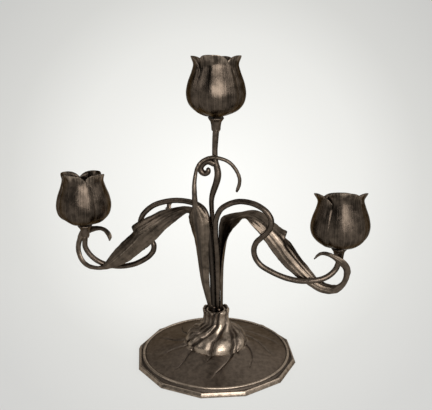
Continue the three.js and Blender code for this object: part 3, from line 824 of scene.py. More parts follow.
class WhorlTool(Tool):
    """Copies of one petal round an axis, each bent a little in its own way at the tip."""

    title = "petal_whorl"
    sockets = {
        "Petal": "Geometry",
        "Petals": "Int",
        "Turn": "Float",
        "Foot": "Vector",
        "Tip play": "Float",
        "Front": "Vector",
        "Front rise": "Float",
        "Back drop": "Float",
        "Seed": "Int",
    }
    ripple_scale = 70.0
    ripple_share = 1.6

    @classmethod
    def shape(cls, graph: Graph, given: dict[str, Link]) -> Link:
        """Builds the geometry.

        Args:
            graph: The tree.
            given: The tree's inputs by name.

        Returns:
            The petals.
        """
        spots = graph.add("GeometryNodePoints", {"Count": given["Petals"], "Position": given["Foot"]})
        which = graph.add("GeometryNodeInputIndex")
        inputs = {"Geometry": spots, "Name": "petal", "Value": which}
        spots = graph.add("GeometryNodeStoreNamedAttribute", inputs, data_type="INT", domain="POINT")
        turn = graph.xyz(Z=given["Turn"] + which * (2 * math.pi) / given["Petals"])
        turn = graph.add("FunctionNodeEulerToRotation", {0: turn})
        inputs = {"Points": spots, "Instance": given["Petal"], "Rotation": turn}
        shape = graph.add("GeometryNodeInstanceOnPoints", inputs)
        shape = graph.add("GeometryNodeRealizeInstances", {0: shape})
        bend = graph.chance(-1.0, 1.0, graph.stored("petal", "INT"), given["Seed"])
        out = graph.vector("SUBTRACT", graph.add("GeometryNodeInputPosition"), given["Foot"])
        flat = graph.vector("NORMALIZE", graph.vector("MULTIPLY", out, (1.0, 1.0, 0.0)))
        ripple = graph.noise(out, cls.ripple_scale) - 0.5
        push = (bend + ripple * cls.ripple_share) * graph.stored(TIP) * given["Tip play"]
        share = (graph.vector("DOT_PRODUCT", flat, given["Front"]).out("Value") + 1.0) * 0.5
        tilt = given["Front rise"] * share - given["Back drop"] * (1.0 - share)
        upward = graph.xyz(Z=tilt * graph.stored(LIFT))
        offset = graph.vector("ADD", graph.vector("SCALE", flat, push), upward)
        return graph.add("GeometryNodeSetPosition", {"Geometry": shape, "Offset": offset})


class BeadTool(Tool):
    """Beads of solder or brazing metal scattered round a ring."""

    title = "solder_beads"
    sockets = {
        "Ring": "Geometry",
        "Beads": "Int",
        "Radius": "Float",
        "Bead size": "Float",
        "Centre": "Vector",
        "Spread": "Float",
        "Seed": "Int",
    }
    # Ranges of each bead's place round the ring, level, size and length, with what each adds to the seed
    draws = ((-0.35, 0.35, 1.0), (-1.0, 1.0, 2.0), (0.65, 1.25, 3.0), (0.8, 1.7, 4.0))

    @classmethod
    def shape(cls, graph: Graph, given: dict[str, Link]) -> Link:
        """Builds the geometry.

        Args:
            graph: The tree.
            given: The tree's inputs by name.

        Returns:
            The beads.
        """
        which = graph.add("GeometryNodeInputIndex")
        shift, level, girth, length = (
            graph.chance(low, high, which, given["Seed"] + step) for low, high, step in cls.draws
        )
        angle = (which + shift) * (2 * math.pi) / given["Beads"]
        x = graph.math("COSINE", angle) * given["Radius"]
        y = graph.math("SINE", angle) * given["Radius"]
        place = graph.vector("ADD", graph.xyz(X=x, Y=y, Z=level * given["Spread"]), given["Centre"])
        spots = graph.add("GeometryNodePoints", {"Count": given["Beads"], "Position": place})
        bead = graph.add("GeometryNodeMeshIcoSphere", {"Radius": 1.0, "Subdivisions": 3})
        size = given["Bead size"] * girth
        inputs = {"Points": spots, "Instance": bead, "Scale": graph.xyz(X=size, Y=size, Z=size * length)}
        shape = graph.add("GeometryNodeInstanceOnPoints", inputs)
        return graph.add("GeometryNodeSetShadeSmooth", {"Geometry": shape})


# The foot


@dataclass(frozen=True)
class RootFold:
    """A fold between two roots of the foot: it winds down the mound and runs out over the disc."""

    angle: float
    sweep: float
    reach: float
    depth: float = 1.0


@dataclass
class Foot:
    """The cast foot: twelve-sided plate, beaded disc, and a mound of roots that winds into a collar.

    The folds' way down is 0 at the collar's lip, 1 at the neck, 4 at the mound's foot and 7 near the disc's
    edge. The tables below give a size at each place on it.
    """

    sides: int = 12
    corner_radius: float = 79.0
    corner_turn: float = -85.0
    edge_height: float = 4.6
    edge_draft: float = 1.4
    disc_radius: float = 72.4
    disc_middle: float = 11.2
    bead_top: float = 7.6
    bead_width: float = 2.8
    bead_height: float = 1.3
    mound_radius: float = 30.0
    mound_foot: float = 17.0
    collar_radius: float = 12.5
    collar_wall: float = 1.9
    neck_height: float = 40.0
    columns: int = 504
    socket_floor: float = 36.0
    socket_base: float = 5.0
    stud_hole: float = 3.3
    washer_seat: float = 9.0
    wall: float = 3.2
    disc_inside: tuple[float, float] = (49.8, 11.548)
    felt_wall: float = 73.9
    felt_ledge: float = 2.3
    felt_recess: float = 1.8
    swell: float = 0.35
    way_top: Table = ((20, 4), (28.5, 3), (33, 2), (40, 1), (53, 0))
    way_out: Table = ((4, 29.3), (5, 38), (6, 50), (7, 65))
    winding: Table = ((0, 66), (1, 57), (2, 29), (3, 8), (4, 0))
    spread: Table = ((4, 0), (5, 0.3), (6, 0.72), (7, 1.0))
    root_size: Table = (
        (0, 0.9), (1, 1.2), (2, 1.6), (3, 2.0), (3.7, 2.1), (4.2, 1.5), (4.6, 1.0), (5, 0.7), (7, 0.3)
    )
    root_fade: Table = ((4.2, 1), (5, 0.8))
    root_power: float = 2.4
    root_middle: float = 0.55
    full_root: float = 9.0
    # Painted shade in the grooves between the roots.
    groove_shade: float = 1.3
    line_width: Table = ((0, 0.7), (3, 1.1), (4, 1.0), (5, 0.65), (7, 0.5))
    line_depth: Table = ((0, 0.85), (2, 0.9), (3.5, 0.85), (4.3, 0.95), (5, 0.95), (7, 0.8))
    # Rubbed paler roots, partly a painted highlight on the collar's cords and the mound's lobes.
    root_rub_and_highlight: Table = ((0, 1.1), (1.5, 0.8), (3, 0.6), (4, 1.0), (4.6, 0.0))
    folds: tuple[RootFold, ...] = (
        RootFold(-172.0, -12.0, 62.0, 0.9),
        RootFold(-148.8, -2.0, 56.0, 1.5),
        RootFold(-124.0, 6.0, 62.0, 1.35),
        RootFold(-86.3, -14.0, 40.0, 1.1),
        RootFold(-43.3, -42.0, 58.0, 1.2),
        RootFold(-28.0, -30.0, 33.0, 0.8),
        RootFold(1.4, -48.0, 57.0, 1.2),
        RootFold(50.0, -60.0, 62.0),
        RootFold(88.0, -66.0, 68.0),
        RootFold(116.0, -52.0, 64.0, 0.9),
        RootFold(142.0, -42.0, 62.0),
        RootFold(168.0, -30.0, 66.0),
    )

    def outline(self) -> list[Point]:
        """Profile of the upper side from the plate's foot to the collar's lip.

        Returns:
            Radius, height, and how far the ring follows the polygon.
        """
        corner, edge, disc = self.corner_radius, self.edge_height, self.disc_radius
        collar, flank, top = self.collar_radius, corner - self.edge_draft, COLLAR_TOP
        rim = [
            *((corner - 0.7, 0.0, 1.0), (corner - 0.1, 0.35, 1.0), (corner, 0.9, 1.0)),
            *((corner - 0.5 * self.edge_draft, 0.5 * edge, 1.0), (flank + 0.1, edge - 0.7, 1.0)),
            *((flank - 0.25, edge - 0.15, 1.0), (flank - 0.8, edge, 1.0), (corner - 3.4, edge - 0.05, 0.8)),
            *((disc + 1.6, edge - 0.5, 0.15), (disc + 0.9, edge - 0.9, 0.0), (disc + 0.45, edge - 0.5, 0.0)),
            (disc + 0.1, edge + 0.6, 0.0),
        ]
        half, tall = self.bead_width / 2, self.bead_height
        turns = np.radians(np.linspace(-20, 200, 12))
        bead = [(disc - half + half * math.cos(a), self.bead_top - tall + tall * math.sin(a)) for a in turns]
        inner = disc - self.bead_width - 0.4
        dish = ((0, self.bead_top - 0.9), (0.5, self.disc_middle), (1, self.mound_foot))
        disc_top = [(inner + (self.mound_radius - inner) * s, read(dish, s)) for s in np.linspace(0, 1, 52)]
        mound = self.mound().at(np.linspace(0, 1, 46))[1:].tolist()
        rise = np.linspace(self.neck_height + 0.8, top - 0.8, 12)
        neck = [(collar + 0.3 * math.cos(0.5 * (h - self.neck_height)), h) for h in rise]
        lip = [(collar + 0.25, top - 0.35), (collar - 0.4, top), (collar - 1.4, top - 0.1)]
        return rim + [(r, h, 0.0) for r, h in bead + disc_top + mound + neck + lip]

    def mound(self) -> Route:
        """The mound's outline from the disc up to the neck, as radius and height."""
        foot, neck = (self.mound_radius, self.mound_foot), (self.collar_radius + 0.6, self.neck_height)
        return Route([foot, (self.mound_radius - 1.4, 22.175), (24.0, 28.5), (16.525, 32.87), neck])

    def underside(self) -> list[tuple[float, float]]:
        """Profile from the collar's bore down through the hollow underside.

        Returns:
            Radius and height.
        """
        bore, ledge = self.collar_radius - self.collar_wall, self.felt_wall - self.felt_ledge
        floor, hollow = self.socket_floor, self.socket_floor - self.socket_base
        stud, washer = self.stud_hole, self.washer_seat
        inside = (self.mound().at(np.linspace(1, 0, 10)) - self.wall).tolist()
        return [
            *((bore, COLLAR_TOP - 0.9), (bore, COLLAR_TOP - 2.4), (bore, floor), (stud, floor)),
            *((stud, hollow), (washer, hollow)),
            *((r, h) for r, h in inside if h < hollow - 1 and r > washer + 1),
            *((self.disc_inside[0], self.disc_inside[1] - self.wall), (ledge, self.edge_height - 1.6)),
            *((ledge, self.felt_recess), (self.felt_wall, self.felt_recess), (self.felt_wall, 0.0)),
        ]

    def way(self, radius: float, height: float) -> float:
        """Where a spot lies on the folds' way down."""
        return read(self.way_top, height) if height >= 20.0 else read(self.way_out, radius, back=True)

    def fold_angles(self, way: float) -> tuple[np.ndarray, np.ndarray]:
        """Angles and depths of the folds on one ring.

        Args:
            way: Where the ring lies, from 0 to 7.

        Returns:
            Angles in degrees from 0 to 360 in rising order, and the depths beside them.
        """
        winding, spread, radius = read(self.winding, way), read(self.spread, way), read(self.way_out, way)
        angles, depths = [], []
        for i, fold in enumerate(self.folds):
            bend = 2.5 * math.sin(1.7 * way + 2.1 * i)
            angles.append((fold.angle + winding + fold.sweep * spread + bend) % 360)
            fade = 1 - float(smooth(radius, fold.reach - 9, fold.reach)) if way > 4 else 1.0
            depths.append(fold.depth * fade)
        order = np.argsort(angles)
        return np.asarray(angles)[order], np.asarray(depths)[order]

    def relief(self, way: float, radius: float, angles: np.ndarray) -> tuple[np.ndarray, np.ndarray]:
        """How far the roots stand out on one ring.

        Args:
            way: Where the ring lies, from 0 to 7.
            radius: The ring's radius.
            angles: The columns' angles, in degrees from 0 to 360.

        Returns:
            The offset along the surface's normal, in millimetres, and how crest-like each spot is: rubbed
            roots that are partly a painted highlight, and painted shade in the grooves.
        """
        valleys, depths = self.fold_angles(way)
        around = np.concatenate([[valleys[-1] - 360], valleys, [valleys[0] + 360]])
        deep = np.concatenate([[depths[-1]], depths, [depths[0]]])
        slot = np.clip(np.searchsorted(around, angles, side="right") - 1, 0, len(around) - 2)
        span = np.maximum(around[slot + 1] - around[slot], 0.5)
        share = np.clip((angles - around[slot]) / span, 0, 1)
        full = np.minimum(1, np.radians(span) * radius / self.full_root)
        root = (1 - np.abs(2 * share - 1) ** self.root_power) * full
        near = np.radians(np.minimum(share, 1 - share) * span) * radius
        near_depth = np.where(share < 0.5, deep[slot], deep[slot + 1])
        line = np.exp(-((near / read(self.line_width, way)) ** 2))
        groove = line * near_depth * read(self.line_depth, way)
        offset = (root - self.root_middle) * read(self.root_size, way) * read(self.root_fade, way) - groove
        # Roots are rubbed paler, partly as a painted highlight; the grooves get painted shade.
        return offset, root * read(self.root_rub_and_highlight, way) - self.groove_shade * groove

    def build(self) -> None:
        """Builds and dresses the casting."""
        outline = self.outline()
        degrees = (self.corner_turn + np.arange(self.columns) * 360 / self.columns) % 360
        angles = np.radians(degrees)
        side = 360 / self.sides
        offset = (degrees - self.corner_turn) % side - side / 2
        corner = math.cos(math.radians(side / 2)) / np.cos(np.radians(offset))
        slope = np.gradient(np.asarray([(r, h) for r, h, _ in outline]), axis=0)
        outward = unit(np.column_stack([slope[:, 1], -slope[:, 0]]))
        first_root = self.disc_radius - self.bead_width - 1.0
        rings, crests = [], []
        for (r, h, polygon), normal in zip(outline, outward):
            radius = r * (1 + polygon * (corner - 1))
            height, crest = np.full(self.columns, h), np.full(self.columns, self._rim_marks(r, h))
            if r < first_root:
                way = self.way(r, h)
                lift, crest = self.relief(way, r, degrees)
                lift = lift * smooth(first_root - r, 0, 4) * (0.5 if h > COLLAR_TOP - 0.5 else 1)
                swell = self.swell * waves(angles / (2 * math.pi) * 5 + r / 40, 3, 1, 2, 11)
                lift = lift + swell * smooth(way, 4.2, 5)
                radius, height = radius + normal[0] * lift, height + normal[1] * lift
                if h > COLLAR_TOP - 1.2:
                    height = height + 0.5 * (crest - 0.3)
            rings.append(ring(radius, angles, height))
            crests.append(crest)
        # The hollow underside is darkened a little all over.
        for r, h in self.underside():
            rings.append(ring(r, angles, h))
            crests.append(np.full(self.columns, -0.3))
        skin = Skin("foot_casting", np.asarray(rings), wear_and_shade_marks(np.asarray(crests)), Ends.JOINED)
        dress(skin.build(), Look.CASTING, "cast_bronze", "foot")

    def _rim_marks(self, radius: float, height: float) -> float:
        """Marks on the plate's edge and the bead: rubbed bright on the corners, darkened in the step
        between.
        """
        if radius > self.corner_radius - 2.6:
            return 0.85 if height > self.edge_height - 0.9 else 0.6
        return 0.85 if height > self.bead_top - 0.9 else -0.7


# Stems


@dataclass
class Rod:
    """A round stem along a smooth path."""

    name: str
    node: str
    path: list[Point]
    radii: list[float]
    round_tip: bool = False
    dent_depth: float = 0.16
    dents_per_metre: float = 160.0
    # Painted shade where the bundle shuts the stem in, set by distance from the axis and by height.
    bundle_shade: float = 0.85
    bundle_shade_radii: tuple[float, float] = (7.0, 12.0)
    bundle_shade_heights: tuple[float, float] = (70.0, 96.0)
    sides: int = 24
    step: float = 0.9
    least_girth: float = 0.05

    def build(self) -> None:
        """Builds and dresses the stem, with painted shade where it is shut in by the bundle."""
        route, fine = Route(self.path), np.linspace(0, 1, 1500)
        lengths = lengths_along(route.at(fine))
        way = np.linspace(0, lengths[-1], max(8, int(lengths[-1] / self.step)))
        shares = np.interp(way, lengths, fine)
        points = route.at(shares)
        girth = np.interp(shares, np.linspace(0, 1, len(self.radii)), self.radii)
        if self.round_tip:
            left = np.minimum((lengths[-1] - way) / self.radii[-1], 1)
            girth = np.maximum(np.sqrt(1 - (1 - left) ** 2) * girth, self.least_girth)
        # Painted shade: darkest near the axis and low in the bundle.
        near_axis = 1 - smooth(np.hypot(points[:, 0], points[:, 1]), *self.bundle_shade_radii)
        low = 1 - smooth(points[:, 2] - COLLAR_TOP, *self.bundle_shade_heights)
        mesh = bpy.data.meshes.new(self.name)
        mesh.from_pydata((points * MM).tolist(), [(i, i + 1) for i in range(len(points) - 1)], [])
        mark(mesh, GIRTH, girth * MM)
        mark(mesh, HOLLOW_AND_SHADE, self.bundle_shade * near_axis * low)
        values = {
            "Sides": self.sides,
            "Dent depth": self.dent_depth * MM,
            "Dents per metre": self.dents_per_metre,
        }
        dress(RodTool.run(linked(self.name, mesh), Look.STEMS, values), Look.STEMS, "bronze", self.node)


def raised(points: Sequence[Point], base: Point = (0.0, 0.0, 0.0)) -> list[Point]:
    """Points of the plant in the frame.

    Args:
        points: Points measured from the collar's top, or from a cup.
        base: The cup's place.

    Returns:
        The points, with heights from the table.
    """
    return [(x + base[0], y + base[1], z + base[2] + COLLAR_TOP) for x, y, z in points]


@dataclass
class Stems:
    """The three stems and the scroll."""

    arm_radius: float = 2.65
    scroll_radius: float = 2.9

    def path(
        self, slot: float, points: Sequence[Point], cup: Point, cup_points: Sequence[Point]
    ) -> list[Point]:
        """A stem's path from its slot in the ferrule to its cup.

        Args:
            slot: The slot's angle round the axis.
            points: Points measured from the collar's top.
            cup: The cup's place.
            cup_points: Points measured from the cup, before those under it.

        Returns:
            The points.
        """
        roots = [polar(SLOT_RADIUS, slot, height) for height in (ROOT_LEVEL, 2)]
        return raised([*roots, *points]) + raised([*cup_points, (0, 0, -5)], cup)

    def centre(self) -> Rod:
        """The centre stem, with its S bend below the loop.

        Returns:
            The stem, ready to build.
        """
        points = [
            *((-0.5, 3, 27), (-1.5, 2.6, 57), (-3, 1.6, 80), (-4, 1, 95), (-4.5, 0.5, 107), (-4, 0, 112.5)),
            *((-2.5, 0, 118.5), (-0.3, 0, 125), (1.3, 0, 131), (1.8, 0, 136), (1, 0, 141.5)),
            *((-0.4, 0, 147), (-1, 0, 153), (-1, 0, 160)),
        ]
        path = self.path(90, points, TOP_CUP, [(-0.5, 0, -18), (0, 0, -10)])
        radii = [2.3, 2.3, 2.25, 2.25, 2.25, 2.25, 2.3, 2.5, 2.9, 3.1, 3.25, 3.2, 3, 2.75, 2.6, 2.6]
        return Rod("centre_stem_bar", "centre_stem", path, radii + 3 * [2.9])

    def right(self) -> Rod:
        """The right arm's stem.

        Returns:
            The stem, ready to build.
        """
        points = [
            *((2.3, -2.6, 30), (1.8, -4, 60), (1, -5.6, 80), (2, -6.8, 94), (6.5, -7, 104), (14, -6, 109.5)),
            *((24, -5, 112.5), (36, -6, 112), (44.5, -7, 109), (50.5, -8, 104.8), (54.3, -8.5, 98.5)),
            *((54, -9, 92), (50.5, -9, 85.7), (45.5, -8.8, 80.5), (41, -8.5, 75.5), (38.5, -8, 68)),
            *((40, -8, 60), (46, -8, 52.5), (56, -8.5, 47.5), (65.5, -8.5, 44), (75, -8.5, 42)),
            (84.5, -8.5, 41.5),
        ]
        ends = [(-22, -7.8, -30.3), (-13, -5.6, -28.3), (-6.6, -2.6, -24.8), (-2, -0.5, -19.5)]
        path = self.path(-30, points, RIGHT_CUP, [*ends, (0, 0, -13), (0, 0, -9)])
        # The right stem stands in front, so it gets less painted shade.
        return Rod("right_stem_bar", "right_stem", path, self._arm_radii(path), bundle_shade=0.15)

    def left(self) -> Rod:
        """The left arm's stem.

        Returns:
            The stem, ready to build.
        """
        points = [
            *((-3, -2, 30), (-4.2, -2.8, 55), (-5.5, -3.4, 73), (-6.6, -3.4, 85), (-8.3, -2.3, 94.5)),
            *((-12, -0.4, 100.5), (-17.5, 1.3, 103.5), (-24.5, 3, 105), (-34.5, 5, 105.3), (-44.5, 7, 104)),
            *((-55.5, 8, 101), (-64.5, 8.3, 97), (-72, 8.7, 91), (-77, 9, 84.5), (-78.8, 8.4, 76.5)),
            *((-75, 7, 68), (-68, 5.4, 62.7), (-64.2, 4.6, 58), (-64.5, 4.4, 52), (-68.5, 4.4, 46)),
            *((-76, 4.8, 40), (-86, 5.2, 34.5), (-97, 6, 31)),
        ]
        ends = [(26.5, 6.7, -42.3), (19, 6.2, -41.5), (12, 4.5, -38.7), (6.5, 2.2, -34), (2, 0.6, -28)]
        path = self.path(-150, points, LEFT_CUP, [*ends, (-1, 0, -21.5), (-0.8, 0, -15), (0, 0, -9)])
        return Rod("left_stem_bar", "left_stem", path, self._arm_radii(path))

    def scroll(self) -> Rod:
        """The fiddlehead that springs from the centre stem.

        Returns:
            The stem, ready to build.
        """
        points = [
            *((-1.2, -0.5, 145.4), (-4.2, -0.8, 146.9), (-7.5, -1, 147.6), (-12, -1, 145.2)),
            *((-14.6, -1, 140.9), (-13.4, -1, 137), (-10.3, -1, 135.7), (-7.5, -1, 137.3)),
            *((-7.6, -1, 139.8), (-9.1, -1, 140.3)),
        ]
        shares = (1.1, 1.1, 1.1, 1.1, 1.05, 1, 0.97, 0.93, 0.87, 0.75)
        radii = [self.scroll_radius * share for share in shares]
        return Rod("scroll_curl", "stem_scroll", raised(points), radii, round_tip=True, dent_depth=0.08)

    def _arm_radii(self, path: list[Point]) -> list[float]:
        """Radii along an arm, thinner in the bundle."""
        return [STEM_ROOT_RADIUS if i < 3 else self.arm_radius for i in range(len(path))]

    def build(self) -> None:
        """Builds and dresses all four."""
        for rod in (self.centre(), self.right(), self.left(), self.scroll()):
            rod.build()


# Leaves


@dataclass
class Blade:
    """A leaf of sheet metal between two edges, veined along its length."""

    name: str
    node: str
    stations: list[Station]
    seed: int
    crease: float = 0.0
    fold: float = 0.65
    thickness: float = LEAF_THICKNESS
    edge_thickness: float = 0.9
    half_columns: int = 30
    rings_per_station: int = 9
    veins: int = 5
    vein_height: float = 0.15
    edge_play: float = 0.3
    lobe_reach: int = 14
    lobe_rings: float = 8.0

    def rings(self) -> tuple[np.ndarray, np.ndarray]:
        """Rings of the blade.

        Returns:
            Points, and how crest-like each is, ring by ring.
        """
        spans = len(self.stations) - 1
        shares = np.linspace(0, 1, spans * self.rings_per_station + 1)
        a, b = (Route([station[k] for station in self.stations]).at(shares) for k in (0, 1))
        rise = Route([(10.0 * i, station[2]) for i, station in enumerate(self.stations)]).at(shares)[:, 1]
        even_a, even_b = self._even(a), self._even(b)
        along = unit(np.gradient((even_a + even_b) / 2, axis=0))
        face = unit(np.cross(even_b - even_a, along))
        width = np.linalg.norm(even_b - even_a, axis=1)
        play = self.edge_play * np.minimum(1, width / 8) * waves(shares * spans, 4, 0.6, 1.6, self.seed)
        across, side = section(self.half_columns, 0.6)
        from_edge = (across[:, None] + 1) / 2
        outward = smooth(np.abs(across), 0.35, 1.0)[:, None]
        arch = (1 - self.fold) * (1 - across**2) + self.fold * (1 - np.sqrt(across**2 + 0.012))
        thick = self.thickness + (self.edge_thickness - self.thickness) * across**2
        rings, crests = [], []
        for i, share in enumerate(shares):
            relief, crest = self._relief(across, share, width[i])
            reach = across * (1 + play[i] * np.sign(across) * 2 / max(width[i], 1) * np.abs(across) ** 6)
            half = np.sqrt(np.maximum(0, 1 - np.abs(across) ** (2 + width[i]))) / 2
            inner = even_a[i] + (even_b[i] - even_a[i]) * from_edge
            outer = a[i] + (b[i] - a[i]) * ((reach[:, None] + 1) / 2)
            height = rise[i] * arch + relief + side * half * thick
            rings.append(inner + (outer - inner) * outward + face[i] * height[:, None])
            crests.append(crest)
        return np.asarray(rings), np.asarray(crests)

    def _even(self, edge: np.ndarray) -> np.ndarray:
        """The edge as it would run without its side lobe.

        Args:
            edge: Points along the edge, ring by ring.

        Returns:
            The evened points.
        """
        reach = self.lobe_reach
        bell = np.exp(-((np.arange(-reach, reach + 1) / self.lobe_rings) ** 2))
        padded = np.pad(edge, ((reach, reach), (0, 0)), mode="reflect", reflect_type="odd")
        columns = [np.convolve(padded[:, k], bell / bell.sum(), mode="valid") for k in range(3)]
        return np.stack(columns, axis=1)

    def _relief(self, across: np.ndarray, share: float, width: float) -> tuple[np.ndarray, np.ndarray]:
        """Veins and mid crease on one section.

        Args:
            across: Places from -1 to 1.
            share: How far along the leaf the section is.
            width: The section's width.

        Returns:
            The rise in millimetres, and how crest-like each spot is.
        """
        scale = min(1.0, width / 14)
        wander = 0.04 * math.sin(9 * share + self.seed)
        vein = np.cos((across + wander) * self.veins * math.pi)
        rise = self.vein_height * scale * vein * np.maximum(0, 1 - np.abs(across) ** 4)
        crease = -self.crease * scale * np.exp(-((across - wander) * width / 1.3) ** 2)
        edge = np.minimum(1, np.abs(across)) ** 14
        middle = np.exp(-((across - wander) * width / 4.5) ** 2) * scale
        # A creased leaf is darkened along its crease; the others get a paler midrib.
        crest = 0.6 * edge + 0.2 * vein * scale + (0.4 if self.crease == 0 else -0.9) * middle
        return rise + crease + 0.25 * edge * scale, crest

    def build(self) -> None:
        """Builds and dresses the leaf."""
        rings, crests = self.rings()
        dress(Skin(self.name, rings, wear_and_shade_marks(crests)).build(), Look.LEAVES, "worn_bronze", self.node)


@dataclass
class FrontLeaf(Blade):
    """The front leaf, whose tip runs on as the loop tendril."""

    tendril: list[Point] = field(default_factory=list)
    tendril_girth: Table = ((0, 2.6), (0.2, 1.7), (0.93, 1.7), (0.99, 1.1), (1, 0.3))
    tendril_wear: float = 0.3

    def rings(self) -> tuple[np.ndarray, np.ndarray]:
        """Rings of the blade and then of the tendril.

        Returns:
            Points, and how crest-like each is, ring by ring.
        """
        rings, crests = super().rings()
        route = Route(self.tendril)
        shares = np.linspace(0, 1, (len(self.tendril) - 1) * 10 + 1)
        tangents, front = route.tangents(shares), np.array([0.0, -1.0, 0.0])
        face = unit(front - tangents * (tangents @ front)[:, None])
        side = np.cross(tangents, face)
        radius = read(self.tendril_girth, shares) * (1 + 0.05 * waves(shares * 20, 4, 0.5, 1.5, 5))
        turns = np.linspace(math.pi, -math.pi, 2 * self.half_columns, endpoint=False)
        spokes = radius[:, None] * np.cos(turns), radius[:, None] * np.sin(turns)
        tube = route.at(shares)[:, None, :] + sum(
            way[:, None, :] * spoke[..., None] for way, spoke in zip((side, face), spokes)
        )
        plain = np.full(tube.shape[:2], self.tendril_wear)
        return np.concatenate([rings, tube]), np.concatenate([crests, plain])


def gutter(angle_a: float, angle_b: float, bulge: float, mouth: Sequence[float]) -> list[Station]:
    """The gutter of a leaf's root, from the ferrule to a little above the collar.

    Args:
        angle_a: The angle of one edge round the axis.
        angle_b: The angle of the other.
        bulge: How far the middle stands out.
        mouth: The last station: how far out from the root, angle and height of both edges, and its bulge.

    Returns:
        Its three stations.
    """
    r = LEAF_ROOT_RADIUS
    rows = [(0, angle_a, level, 0, angle_b, level, bulge) for level in (ROOT_LEVEL, -2)] + [mouth]
    return [(polar(r + out, a, h), polar(r + way, b, k), rise) for out, a, h, way, b, k, rise in rows]


def stations(rows: Sequence[Sequence[float]]) -> list[Station]:
    """Stations from rows of seven numbers: both edges and the bulge."""
    return [(tuple(row[:3]), tuple(row[3:6]), row[6]) for row in rows]


def placed(
    root_part: list[Station], cup: Point = (0, 0, 0), cup_part: Sequence[Station] = ()
) -> list[Station]:
    """Stations of a leaf in the frame's heights.

    Args:
        root_part: Stations measured from the foot's axis and the collar.
        cup: The tulip that the leaf curls under.
        cup_part: Stations measured from that tulip's foot.

    Returns:
        All stations.
    """
    made = [(*raised([a, b]), bulge) for a, b, bulge in root_part]
    return made + [(*raised([a, b], cup), bulge) for a, b, bulge in cup_part]


